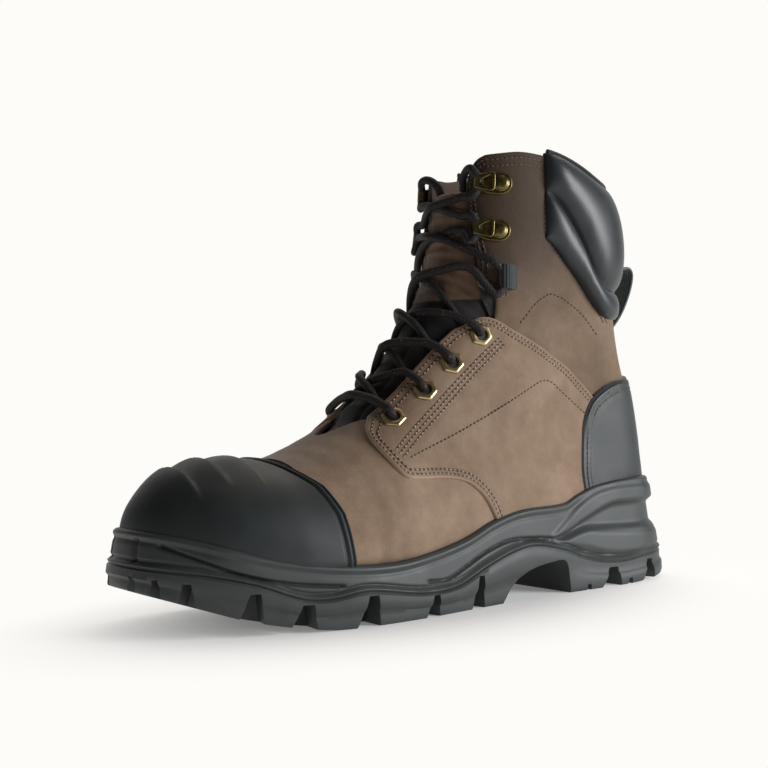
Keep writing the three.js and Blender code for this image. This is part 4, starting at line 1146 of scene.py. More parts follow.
def wrapFromAngle(angle):
    return (np.asarray(angle) - np.pi) * leather["wrapRadius"]


def wrapFromSide(points):
    points = np.asarray(points, float)
    _, angle = fromSide(1, points[:, 0], points[:, 1])
    return np.column_stack([wrapFromAngle(angle), points[:, 1]])


def angleForWidth(z, width):
    angle = np.full(np.shape(z), 0.7)
    for _ in range(12):
        angle = 0.5 * angle + 0.5 * atWidth(atHeight(z, angle), width)
    return angle


def mirroredLoop(half):
    other = half[::-1].copy()
    other[:, 0] *= -1
    return np.vstack([half, other])


def throatInSide():
    rows = [row for row in leather["throatEdge"] if 4.15 <= row[0] <= 9]
    station = np.linspace(4.2, 8.75, 60)
    width = np.interp(station, [r[0] for r in rows], [r[1] for r in rows]) * last["ballWidth"]
    surface = lastSurface(station, atWidth(station, width))
    return surface[::-1, 1:]


def quarterLoop():
    throat = throatInSide()
    front = smoothLine(leather["quarterFront"], 1.4)
    top = smoothLine(leather["quarterTop"], 1.4)
    throat = throat[(throat[:, 1] < 134.5) & (throat[:, 1] > 88.5)]
    bottom = np.array([(y, 17.0) for y in np.arange(-90, -12, 2.5)])
    rear = np.array([(-12.0, z) for z in np.arange(19, 91, 2.5)])
    return evenly(np.vstack([throat, front, bottom, rear, top, throat[:1]]), 1.35)[:-1]


# seams: how far in from an edge each row of stitches lies
seams = {
    "pitch": 2.5,
    "thread": (1.55, 0.75, 0.6),
    "hole": (1.7, 1.15, 0.6),
    "edgeRows": (1.8, 3.8),
    "topRows": (1.8, 3.8),
    "tripleRows": (-2, 0, 2),
    "triple": [(-146.6, 74.2), (-120, 94), (-96, 113.5), (-78, 127.3)],
    "lowScroll": [
        (-142.1, 72.4), (-112, 83.2), (-82, 95.6), (-62, 104.6), (-54, 107.8), (-48, 107), (-42.3, 102.8),
        (-25, 90.3)],
    "highScroll": [
        (-65.8, 137), (-56.8, 146.4), (-50.2, 150.6), (-45.3, 152.3), (-40, 151), (-34, 148.2), (-23.9, 141.6),
        (-13.7, 131)],
    "shaftRear": [
        (-46, 221), (-48.6, 212), (-52.6, 201), (-53.8, 186), (-51.5, 177), (-46, 171), (-34, 160), (-21, 146),
        (-12, 135)],
}


def joinShapes(name, base, faces, places, material, stands, sharp=60):
    count = len(base)
    points = np.einsum("nij,mj->nmi", places[0], base) + places[1][:, None, :]
    every = np.asarray(faces)[None] + (np.arange(len(points)) * count)[:, None, None]
    every = every.reshape(-1, len(faces[0])).tolist()
    return finishMesh(name, points.reshape(-1, 3), every, material, stands, sharp)


def beadShape(length, width, height, squareness=0.6):
    # a closed bead of four rings of six, long in x
    turn = np.linspace(0, 2 * np.pi, 6, endpoint=False)
    points = []
    for at, thick in ((-0.5, 0.3), (-0.5 * squareness, 1), (0.5 * squareness, 1), (0.5, 0.3)):
        for t in turn:
            points.append((at * length, math.cos(t) * thick * width / 2, math.sin(t) * thick * height / 2))
    faces = gridFaces(4, 6, wrapColumns=True).tolist()
    ends = [(0, 1, 2, 3), (0, 3, 4, 5), (18, 21, 20, 19), (18, 23, 22, 21)]
    return np.array(points), faces + ends


# stitches along lines of a pattern: threads on the surface, and painted shade for the needle holes between them
def stitchRows(name, lines, place, lift, thread, stands, pitch=seams["pitch"], holes=True):
    centres, turns = [], []
    for line in lines:
        line = evenly(np.asarray(line, float), 0.8)
        path = place(line, np.full(len(line), float(lift)))
        above = place(line, np.full(len(line), lift + 0.6))
        far = farAlong(path)
        at = np.arange(pitch / 2, far[-1], pitch)
        if len(at) < 2:
            continue
        middle = readLine(path, far, at)
        ahead = unit(readLine(path, far, at + 0.4) - readLine(path, far, at - 0.4))
        out = unit(readLine(above - path, far, at))
        across = unit(np.cross(out, ahead))
        out = np.cross(ahead, across)
        centres.append(middle)
        turns.append(np.stack([ahead, across, out], -1))
    centres, turns = np.vstack(centres), np.concatenate(turns)
    base, faces = beadShape(*seams["thread"])
    # every thread lies a little askew, as a lockstitch does
    base = base @ np.array([[1, 0.16, 0], [-0.16, 1, 0], [0, 0, 1]])
    sunk = turns[:, :, 2] * 0.02
    joinShapes(name + "_thread", base, faces, (turns, centres + sunk), thread, stands)
    if holes:
        # painted shade: a dark bead sunk between the threads stands for each needle hole
        hole, holeFaces = beadShape(*seams["hole"], squareness=0.55)
        between = centres + turns[:, :, 0] * pitch / 2 - turns[:, :, 2] * 0.12
        hole = hole @ np.array([[1, -0.35, 0], [0.35, 1, 0], [0, 0, 1]])
        joinShapes(name + "_holes", hole, holeFaces, (turns, between), needleHole, stands)


def seamDent(lines, depth=0.3, width=0.85):
    dense = [evenly(np.asarray(line, float), 2.5) for line in lines]

    def relief(flat):
        low = np.zeros(len(flat))
        for line in dense:
            low = np.minimum(low, -depth * np.exp(-((distanceTo(flat, line) / width) ** 2)))
        return low
    return relief


def soften(points, line, depth, width):
    return depth * np.exp(-((distanceTo(points, smoothLine(line, 3)) / width) ** 2))


def throatFloor(angle):
    # where the throat ends over the toes: lowest in the middle
    return mix(3.3, 4.16, smoothStep(np.abs(angle), 0.02, 0.4))


def makeLining():
    lo, hi = leather["liningStart"], leather["liningEnd"]
    station = np.concatenate([np.linspace(0.6, 2, 12), np.linspace(2.1, 4.1, 14)])
    angle = np.linspace(-np.pi + 0.001, np.pi - 0.001, 90)
    u, a = np.meshgrid(station, angle, indexing="ij")
    u = np.minimum(u, throatFloor(a) - 0.06 * (4.1 - u))
    gridSheet("lining_front", onLast(u, a, np.full(u.shape, hi)), onLast(u, a, np.full(u.shape, lo)),
              liningCloth, ["upper"])
    station = np.linspace(4.1, 15.35, 70)
    start = atWidth(station, throatWidth(station) + 1.2)
    share = np.linspace(0, 1, 120)
    a = start[:, None] * (1 - share) + (2 * np.pi - start[:, None]) * share
    u = np.broadcast_to(station[:, None], a.shape)
    u = u - 0.5 * smoothStep(u, 14.2, 15.3) * smoothStep(1 - share[None, :] * np.ones(u.shape), 0.8, 0.97)
    u = u - 0.5 * smoothStep(u, 14.2, 15.3) * smoothStep(share[None, :] * np.ones(u.shape), 0.8, 0.97)
    gridSheet("lining_shaft", onLast(u, a, np.full(a.shape, hi)), onLast(u, a, np.full(a.shape, lo)),
              liningCloth, ["upper"])


def makeVamp():
    # from under the toe cap to under the quarters, creased where the toes bend
    low = 2.55
    angle = np.linspace(-low, low, 220)
    # it ends at the throat, and further back under the quarters
    end = mix(throatFloor(angle), 6.4, smoothStep(np.abs(angle), 0.42, 0.95))
    u = 2.1 + (end[None, :] - 2.1) * np.linspace(0, 1, 84)[:, None]
    a = np.broadcast_to(angle[None, :], u.shape)
    surface = lastSurface(u, a)
    y = surface[..., 1]
    side = np.clip(np.abs(surface[..., 0] + 3) / 50, 0, 1)
    lift = np.zeros(u.shape)
    # three soft creases across the toes' bend, deeper at the sides
    for place, depth, width, lean in ((-186, 0.55, 3.2, 8), (-177, 0.8, 3.6, 12), (-168, 0.6, 3.4, 14)):
        lift -= 0.3 * depth * (0.35 + 0.65 * side) * np.exp(-(((y - place - lean * side) / width) ** 2))
        lift += 0.12 * depth * side * np.exp(-(((y - place - 5 - lean * side) / width) ** 2))
    # the rear edge, at the throat, is cut round and rolls under
    edge = smoothStep(np.linspace(0, 1, 84)[:, None], 0.95, 1) * np.ones(u.shape)
    outer = onLast(u, a, lift - 0.8 * edge)
    inner = onLast(u, a, np.full(u.shape, -leather["wall"]))
    gridSheet("vamp", outer, inner, brownLeather, ["upper"])


def makeQuarter(side, tag):
    loop = quarterLoop()
    place = sidePlace(side)
    shut = np.vstack([loop, loop[:1]])
    throat = throatInSide()
    throat = throat[(throat[:, 1] < 134.5) & (throat[:, 1] > 88.5)]
    front = smoothLine(leather["quarterFront"][:-1], 1.4)
    top = smoothLine(leather["quarterTop"], 1.4)

    def inwards(line, reach):
        one, other = moved(line, reach), moved(line, -reach)
        return one if insideOf(one[len(one) // 2:len(one) // 2 + 1], loop)[0] else other

    edgeLine = evenly(np.vstack([top[-6:], throat, front[:18]]), 1.5)
    bottomLine = evenly(front[14:], 1.5)
    triple = smoothLine(seams["triple"], 1.5)
    rows = [inwards(edgeLine, reach) for reach in seams["edgeRows"]]
    rows += [inwards(bottomLine, reach) for reach in (1.8, 3.8)]
    rows += [moved(triple, shift) for shift in seams["tripleRows"]]
    tops = [inwards(top[:-5], reach) for reach in seams["topRows"]]
    scroll = smoothLine(seams["lowScroll"], 1.5)

    def inside(line):
        return line[insideOf(line, loop) & (distanceTo(line, shut) > 1.2)]

    rows, tops = [inside(r) for r in rows], [inside(r) for r in tops]
    dent = seamDent([*rows, *tops])

    def relief(flat):
        # soft folds: below the eyelets, and where the ankle bends
        fold = soften(flat, [(-118, 72), (-96, 80), (-70, 76)], -0.4, 8)
        fold += soften(flat, [(-40, 60), (-60, 78), (-88, 96)], -0.5, 6)
        return dent(flat) + fold

    panel("quarter_" + tag, loop, place, -leather["wall"], leather["quarterStep"], brownLeather,
          spacing=1.7, edge=0.9, relief=relief, stands=["upper"])
    lift = leather["quarterStep"] - 0.16
    stitchRows("stitches_" + tag, rows, place, lift, tanThread, ["upper"])
    stitchRows("topStitches_" + tag, tops, place, lift, tanThread, ["upper"], pitch=2.2)
    stitchRows("scroll_" + tag, [inside(scroll)], place, lift + 0.1, needleHole, ["upper"],
               holes=False)


def shaftEdge():
    line = smoothLine(leather["shaftFront"], 1.2)
    angle = angleForWidth(line[:, 0], line[:, 1])
    return np.column_stack([wrapFromAngle(angle), line[:, 0]])


def shaftTop():
    line = np.array(leather["topLine"])
    angle = angleForWidth(line[:, 0], line[:, 1])
    first = np.column_stack([wrapFromAngle(angle), line[:, 0]])
    share, top = np.array([row[0] for row in collar["table"]]), np.array([row[3] for row in collar["table"]])
    behind = wrapFromAngle(np.arccos(2 * share[::-1] - 1))
    rest = np.column_stack([behind, top[::-1] * last["height"] - 2])
    return np.vstack([first, rest])


# the padded collar: share from the back, then the heights of its lower edge, its seam and its top
collar = {
    "table": [
        [0, 0.614, 0.676, 0.912], [0.2, 0.612, 0.68, 0.93], [0.28, 0.63, 0.705, 0.945],
        [0.34, 0.675, 0.76, 0.957], [0.43, 0.72, 0.83, 0.972], [0.52, 0.76, 0.875, 0.982], [0.6, 0.8, 0.905, 0.988]],
    "padding": 9.6,
    "frontShare": 0.6,
    "columns": 168,
    "upperRows": 26,
    "lowerRows": 12,
    "insideRows": 12,
    "insideReach": 34,
    "frames": 16,
    "simScale": 8,
    "clothShare": 0.22,
}


def makeShaft():
    edge = shaftEdge()
    top = shaftTop()
    low = np.array([(edge[0, 0] + 18, 112), (-75, 96), (-52, 74), (-30, 64), (0, 62)], float)
    upper = smoothLine(np.vstack([edge[-1:], top]), 2)[1:-1]
    half = np.vstack([smoothLine(low, 2.5)[::-1][1:], edge, upper, [(0, top[-1][1])]])
    half = half[half[:, 0] < -0.5]
    loop = evenly(np.vstack([mirroredLoop(half), half[:1]]), 1.5)[:-1]

    def lowered(line):
        # the medial corner stands 5 mm lower
        drop = 5 * smoothStep(line[:, 1], 190, 222) * smoothStep(line[:, 0], 62, 84)
        return line - np.column_stack([np.zeros(len(line)), drop])

    loop = lowered(loop)
    shut = np.vstack([loop, loop[:1]])
    frontLine = edge[(edge[:, 1] > 148)]
    topLine = smoothLine(np.vstack([edge[-1:], top[:6]]), 1.5)

    def inside(line):
        return line[insideOf(line, loop) & (distanceTo(line, shut) > 1.1)]

    frontRows = [inside(moved(frontLine, s)) for s in (-2.3, -4.4)]
    topRows = [inside(moved(topLine, s)) for s in (-3, -6.5)]
    rear = smoothLine(wrapFromSide(seams["shaftRear"]), 1.5)
    rearRows = [moved(rear, s) for s in (4.6, 7)]
    scroll = smoothLine(wrapFromSide(seams["highScroll"]), 1.5)
    rows = [*frontRows, *topRows, *rearRows]
    flipped = [lowered(r * np.array([-1, 1])) for r in rows]
    dent = seamDent([*rows, *flipped])

    def relief(flat):
        both = np.abs(flat[:, 0]) * np.array([[-1], [0]]) + np.array([[0], [1]]) * flat[:, 1]
        fold = soften(both.T, [(-104, 172), (-92, 168), (-80, 158)], -0.6, 5)
        return dent(flat) + fold

    panel("shaft", loop, wrapPlace, -leather["wall"], 0.1, shaftLeather, spacing=1.9, edge=0.8,
          relief=relief, stands=["upper"])
    for sign, tag in ((1, "lateral"), (-1, "medial")):
        turn = np.array([sign, 1])
        stitchRows("shaftStitches_" + tag, [lowered(r * turn) for r in rows], wrapPlace, -0.05, shaftThread,
                   ["upper"])
        stitchRows("shaftScroll_" + tag, [scroll * turn], wrapPlace, 0.1, needleHole, ["upper"],
                   holes=False)


makeLining()
makeVamp()
for sideSign, sideTag in ((1, "lateral"), (-1, "medial")):
    makeQuarter(sideSign, sideTag)
makeShaft()
print("upper made")

# rubber toe cap with three curved gills and a beaded rear edge
toeCap = {
    "rearEdge": [
        (-178.3, 8), (-178.3, 13.7), (-179.5, 27.4), (-182.2, 50.2), (-186.9, 61.6), (-194, 68.4),
        (-201.2, 74.5), (-203.5, 84)],
    "thickness": 3,
    "rearThickness": 2.4,
    "creases": (-239.5, -227, -213.5),
    "crests": (2.3, 2.0, 1.15),
    "valleys": (-0.1, -0.45, -0.6),
    # heights where each gill is whole and where it has run out
    "whole": (72, 74, 74),
    "runOut": (55, 62, 61),
    "lowAngle": 2.5,
    "rows": 150,
    "columns": 220,
}


def capEdgeY(z):
    rows = np.array(toeCap["rearEdge"])
    return np.interp(z, rows[:, 1], rows[:, 0])


def makeToeCap():
    angle = np.linspace(-toeCap["lowAngle"], toeCap["lowAngle"], toeCap["columns"])

    def ahead(station):
        surface = lastSurface(station, angle)
        return surface[:, 1] < capEdgeY(surface[:, 2])

    reach = halve(np.full(angle.shape, 0.6), np.full(angle.shape, 3.4), ahead)
    share = np.linspace(0, 1, toeCap["rows"]) ** 0.92
    u = 0.02 + (reach[None, :] - 0.02) * share[:, None]
    a = np.broadcast_to(angle[None, :], u.shape)
    surface = lastSurface(u, a)
    y, z = surface[..., 1], surface[..., 2]
    back = capEdgeY(z) - y
    lift = mix(toeCap["rearThickness"], toeCap["thickness"], smoothStep(back, 2, 22))
    wave = np.zeros(u.shape)
    starts = (-262, *toeCap["creases"][:2])
    floors = (0, *toeCap["valleys"][:2])
    fades = [smoothStep(z, low, high) for low, high in zip(toeCap["runOut"], toeCap["whole"])]
    for start, end, crest, floor, fade in zip(starts, toeCap["creases"], toeCap["crests"], floors, fades):
        t = np.clip((y - start) / (end - start), 0, 1)
        hump = floor + (crest - floor) * np.sin(t * np.pi / 2) ** 1.3
        within = smoothStep(y, start - 0.6, start + 0.6) * (1 - smoothStep(y, end - 0.6, end + 0.6))
        wave += hump * within * fade
    after = smoothStep(y, toeCap["creases"][2] - 0.7, toeCap["creases"][2] + 0.7)
    wave += toeCap["valleys"][2] * after * np.clip(1 - (y - toeCap["creases"][2]) / 12, 0, 1) * fades[2]
    lift = lift + 1.25 * wave
    # the rear edge: a groove, a thin bead, and a rounded lip
    lift = lift - 0.75 * np.exp(-(((back - 4.6) / 0.75) ** 2)) + 0.35 * np.exp(-(((back - 2.9) / 0.8) ** 2))
    lift = lift - 0.7 * np.exp(-(((back - 1.5) / 0.5) ** 2))
    lip = np.clip(1 - back / 0.9, 0, 1)
    lift = lift - 1.0 * (1 - np.sqrt(1 - lip**2))
    inner = onLast(u, a, np.full(u.shape, 0.3))
    gridSheet("toeCap", onLast(u, a, lift), inner, capRubber, ["toe_cap"], sharp=50)


# rubber heel counter
counter = {
    "frontEdge": [
        (-28, 38), (-28, 49.2), (-28.6, 60), (-27.5, 71.8), (-25.8, 83.7), (-23, 90.9), (-18, 97.3),
        (-9.6, 102.5), (-2, 105.4)],
    "backHeight": 108.6,
    "thickness": 2.9,
    "rows": (2.2, 4.6),
}


def counterLine(reach):
    # the counter's outline moved in by reach, from the lateral foot over the back to the medial foot
    front = wrapFromSide(moved(smoothLine(counter["frontEdge"], 1.4), -reach))
    top = counter["backHeight"] - reach
    behind = np.array([front[-1], (-18, top - 1), (-9, top), (0, top)])
    half = np.vstack([front, smoothLine(behind, 1.4)[1:]])
    return mirroredLoop(half[half[:, 0] < -0.5])


def makeCounter():
    def closedLoop(reach):
        line = counterLine(reach)
        return evenly(np.vstack([line, line[:1]]), 1.4)[:-1]

    rows = [counterLine(reach) for reach in counter["rows"]]
    rows = [evenly(row[row[:, 1] > 40], 1.4) for row in rows]
    # painted shadow: a black strip standing out 1.6 mm round the counter stands for the shadow at its edge
    panel("counterEdgePaintedShadow", closedLoop(-1.6), wrapPlace, -0.2, 2.1, tapeAndPaintedShadow, spacing=3,
          edge=0.5, stands=["heel_counter"])
    panel("heelCounter", closedLoop(0), wrapPlace, -0.2, counter["thickness"], heelRubber,
          spacing=1.8, edge=0.9, relief=seamDent(rows, 0.35, 0.7), stands=["heel_counter"])
    stitchRows("counterStitches", rows, wrapPlace, counter["thickness"] - 0.25, darkThread,
               ["heel_counter"], pitch=2.6)


# the padded collar's two tubes are blown up as cloth between their seams, then folded over the top
def collarHeights(angle):
    share = (1 + np.cos(angle)) / 2
    table = np.array(collar["table"])
    return [np.interp(share, table[:, 0], table[:, k]) * last["height"] for k in (1, 2, 3)]


def smoothTable(angle):
    fine = [collarHeights(angle + shift) for shift in np.linspace(-0.12, 0.12, 9)]
    return [np.mean([f[k] for f in fine], axis=0) for k in range(3)]


def makeCollar():
    start = math.acos(2 * collar["frontShare"] - 1)
    angle = np.linspace(start, 2 * np.pi - start, collar["columns"])
    lower, seam, top = smoothTable(angle)
    fromFront = np.minimum(angle - start, 2 * np.pi - start - angle)
    front = rounded(fromFront / 0.24, 2)
    rows, lifts, pins = [], [], []

    def addTube(low, high, depth, count, first):
        for k in range(0 if first else 1, count + 1):
            m = 2 * k / count - 1
            rows.append(mix(low, high, k / count))
            crown = (1 - abs(m) ** 2.1) ** 0.62
            lifts.append(collar["padding"] * (0.12 + 0.8 * depth * front * crown))
            pins.append(np.where((abs(m) > 0.99) | (fromFront < 0.02), 1.0, 0.0) + np.zeros(len(angle)))

    # the lower tube grows thin towards the back
    thin = 1 - 0.5 * (1 - smoothStep((1 + np.cos(angle)) / 2, 0.05, 0.3))
    addTube(lower, seam, 0.72 * thin, collar["lowerRows"], True)
    addTube(seam, top, 1.0, collar["upperRows"], False)
    # over the top edge and down the inside
    for k in range(1, collar["insideRows"] + 1):
        share = k / collar["insideRows"]
        rows.append(top - collar["insideReach"] * share**1.3)
        sunk = mix(0.12 * collar["padding"], -3.2, smoothStep(share, 0, 0.25))
        lifts.append(sunk - 2.2 * np.sin(np.pi * share) * front)
        pins.append(np.ones(len(angle)))
    z, lift = np.array(rows), np.array(lifts)
    a = np.broadcast_to(angle, z.shape)
    outer = onLast(atHeight(z, a), a, lift)
    count, columns = z.shape
    points = outer.reshape(-1, 3)
    faces = gridFaces(count, columns).tolist()
    piece = finishMesh("collarPad", points, faces, paddedLeather, ["collar"], sharp=80)
    blowUp(piece, np.array(pins).ravel())
    blown = np.zeros(len(piece.data.vertices) * 3)
    piece.data.vertices.foreach_get("co", blown)
    blown = mix(outer, blown.reshape(count, columns, 3) / mm, collar["clothShare"])
    # fine puckers run off the seams
    away = np.minimum(np.abs(z - seam), np.minimum(np.abs(z - top), np.abs(z - lower)))
    pucker = 0.05 * np.exp(-((away / 4.5) ** 2)) * np.sin(angle * 88 + 2 * np.sin(angle * 13)) * front
    blown += lastNormal(atHeight(z, a), a) * pucker[..., None]
    bpy.data.objects.remove(piece)
    closeBehind(blown, z, a)


def blowUp(piece, pins):
    group = piece.vertex_groups.new(name="seams")
    for index, weight in enumerate(pins):
        if weight > 0:
            group.add([index], float(weight), "REPLACE")
    # cloth at a few metres' size runs steadier than at millimetres
    piece.data.transform(Matrix.Scale(collar["simScale"], 4))
    bpy.context.scene.frame_set(1)
    cloth = piece.modifiers.new("padding", "CLOTH")
    cloth.settings.quality = 5
    cloth.settings.mass = 0.3
    cloth.settings.tension_stiffness = 18
    cloth.settings.compression_stiffness = 6
    cloth.settings.bending_stiffness = 0.08
    cloth.settings.vertex_group_mass = "seams"
    cloth.settings.shrink_min = -0.01
    cloth.settings.use_pressure = True
    cloth.settings.uniform_pressure_force = 4
    cloth.settings.effector_weights.gravity = 0
    cloth.collision_settings.use_collision = False
    cloth.point_cache.frame_end = collar["frames"]
    for number in range(1, collar["frames"] + 1):
        bpy.context.scene.frame_set(number)
    selectOnly(piece)
    bpy.ops.object.modifier_apply(modifier="padding")
    piece.data.transform(Matrix.Scale(1 / collar["simScale"], 4))
    bpy.context.scene.frame_set(1)


# a backing on the shaft closes the pad behind its blown face
def closeBehind(blown, z, a):
    backing = onLast(atHeight(z, a), a, np.full(z.shape, -0.6))
    face = collar["lowerRows"] + collar["upperRows"]
    backing[face:] = onLast(atHeight(z[face:], a[face:]), a[face:], np.full(z[face:].shape, -1.6))
    piece = gridSheet("collarPad", blown, backing, paddedLeather, ["collar"], sharp=80)
    useModifier(piece, "SUBSURF", levels=1)
    edge = blown[face]
    rings, far = tube(edge[1:-1] + np.array([0, 0, 0.4]), 2.6, 2.6, sides=10, pitch=2.0)
    tubeMesh("collarBinding", rings, far, tapeAndPaintedShadow, ["collar"])


# tongue with its gusset
tongue = {
    "first": 2.9,
    "end": 14.9,
    "outer": -4.4,
    "thickness": 4.2,
    "rows": 150,
    "columns": 44,
}


def acrossThroat(station, width, lift):
    station, width = np.broadcast_arrays(np.asarray(station, float), np.asarray(width, float))
    angle = np.sign(width) * atWidth(station, np.abs(width))
    return onLast(station, angle, np.broadcast_to(lift, station.shape))


def makeTongue():
    station = np.linspace(tongue["first"], tongue["end"], tongue["rows"])
    share = np.linspace(-1, 1, tongue["columns"])
    half = (throatWidth(station) + 6) * rounded((tongue["end"] - station) / 0.75 + 0.12, 2.4)
    u = np.broadcast_to(station[:, None], (len(station), len(share)))
    x = half[:, None] * share[None, :]
    # soft quilting: two lengthwise channels and a padded roll at the top
    crown = 4.2 * (1 - np.abs(share[None, :]) ** 2.2) * smoothStep(u, 3.5, 4.5)
    roll = 1.6 * np.exp(-(((u - 14.1) / 0.55) ** 2)) * (1 - share[None, :] ** 2)
    channel = -0.9 * (np.exp(-(((np.abs(x) - 9) / 1.6) ** 2)))
    bend = 0.35 * np.sin(u * 9) * (1 - share[None, :] ** 2)
    edge = rounded((1 - np.abs(share[None, :])) / 0.12, 2) * rounded((tongue["end"] - u) / 0.22, 2)
    lift = tongue["outer"] + (crown + roll + channel + bend) * edge - 1.4 * (1 - edge)
    inner = acrossThroat(u, x, tongue["outer"] - tongue["thickness"] * (0.25 + 0.75 * edge))
    piece = gridSheet("tonguePad", acrossThroat(u, x, lift), inner, tongueLeather, ["tongue"],
                      sharp=80)
    # the gusset folds between the tongue and the facings
    for side, tag in ((1, "lateral"), (-1, "medial")):
        station = np.linspace(4.0, 12.6, 90)
        width = throatWidth(station)
        share = np.linspace(0, 1, 9)
        x = (width[:, None] * (0.72 + 0.5 * share[None, :])) * side
        u = np.broadcast_to(station[:, None], x.shape)
        fold = -3.0 - 1.3 * np.sin(np.pi * share[None, :]) + 0.4 * np.sin(u * 5 + 3 * share[None, :])
        gridSheet("gusset_" + tag, acrossThroat(u, x, fold), acrossThroat(u, x, fold - 0.9),
                  gussetCloth, ["tongue"], sharp=80)


# metal, webbing and laces
fastenings = {
    "eyelets": [(0.595, 0.399), (0.532, 0.456), (0.477, 0.514), (0.418, 0.575)],
    "loop": (0.36, 0.704),
    "hooks": [(0.385, 0.81), (0.375, 0.915)],
    "hexAcross": 10.8,
    "cornerShare": 1.125,
    "bore": 6,
    "lace": 4.4,
}


def seatOn(side, along, up):
    y = last["behindHeel"] - along * last["length"]
    station, angle = fromSide(side, np.array([y]), np.array([up * last["height"]]))
    place = lastSurface(station, angle)[0]
    out = lastNormal(station, angle)[0]
    upwards = unit(lastSurface(station + 0.1, angle) - lastSurface(station - 0.1, angle))[0]
    upwards = unit(upwards - out * (upwards @ out))
    forwards = np.cross(upwards, out)
    forwards *= np.sign(forwards @ (lastSurface(station, angle - side * 0.05)[0] - place))
    return place, forwards, upwards, out, station[0]


def seated(seat, forward, up, out):
    place, forwards, upwards, outwards = seat[:4]
    return place + forwards * forward + upwards * up + outwards * out


# a turned shape on its seat, from rows of radius, height and how hexagonal it is
def turned(rows, seat, out=0, forward=0, sides=48, ring=True):
    turn = np.linspace(0, 2 * np.pi, sides, endpoint=False)
    facet = (turn + np.pi / 6) % (np.pi / 3) - np.pi / 6
    corner = np.minimum(1 / np.cos(facet), fastenings["cornerShare"])
    forwards, upwards, outwards = seat[1:4]
    middle = seated(seat, forward, 0, out)
    rings = []
    for radius, height, hexShare in rows:
        wide = radius * mix(1, corner, hexShare)
        level = middle + forwards * (np.cos(turn) * wide)[:, None] + upwards * (np.sin(turn) * wide)[:, None]
        rings.append(level + outwards * height)
    rings = np.array(rings)
    faces = gridFaces(len(rows), sides, wrapRows=ring, wrapColumns=True).tolist()
    points = rings.reshape(-1, 3)
    if not ring:
        faces += [tuple(range(sides)), tuple((len(rows) - 1) * sides + k for k in range(sides))[::-1]]
    return points, faces


def makeEyelets():
    half = fastenings["hexAcross"] / 2
    bore = fastenings["bore"] / 2
    rows = [
        (bore + 0.1, -1.8, 0), (bore, 0.2, 0), (bore + 0.06, 0.9, 0), (bore + 0.3, 1.2, 0.1),
        (bore + 0.7, 1.28, 0.4), (half - 1.0, 1.28, 1), (half - 0.75, 1.22, 1), (half - 0.12, 0.78, 1),
        (half, 0.55, 1), (half, -0.1, 1), (half - 1, -0.15, 1), (bore + 0.9, -1.8, 0),
    ]
    for side, tag in ((1, "lateral"), (-1, "medial")):
        for number, (along, up) in enumerate(fastenings["eyelets"], 1):
            seat = seatOn(side, along, up)
            points, faces = turned(rows, seat, out=leather["quarterStep"] + 0.05, sides=60)
            finishMesh("eyelet_%s_%d" % (tag, number), points, faces, paleBrass,
                       ["eyelet_%s_%d" % (tag, number)], sharp=32)
            # the bore is closed with a dark plug: partly the lace in it, partly painted shade down the hole
            points, faces = turned([(bore, -0.2, 0), (bore, -1.4, 0)], seat, out=leather["quarterStep"] + 0.5,
                                   sides=24, ring=False)
            finishMesh("eyeletDark_%s_%d" % (tag, number), points, faces, needleHole, ["upper"])


# speed hook: an oval base with a domed rivet, bent round to a head with a three-cornered opening
hook = {
    "baseStart": -10.5,
    "baseEnd": 6.2,
    "gap": 5.2,
    "headEnd": -2.2,
    "metal": 1.15,
    "baseWide": 5.6,
    "bendWide": 3.4,
    "headWide": 4.9,
    "rivet": 4.1,
}


def hookPath():
    radius = hook["gap"] / 2
    turn = np.linspace(-np.pi / 2, np.pi / 2, 14)
    base = [(f, 0.1) for f in np.linspace(hook["baseStart"], hook["baseEnd"], 10)]
    bend = [(hook["baseEnd"] + radius * math.cos(t), 0.1 + radius + radius * math.sin(t)) for t in turn[1:]]
    head = [(f, 0.1 + hook["gap"] + 0.9 * ((hook["baseEnd"] - f) / 8.4) ** 2)
            for f in np.linspace(hook["baseEnd"], hook["headEnd"], 9)[1:]]
    return np.array(base + bend + head)


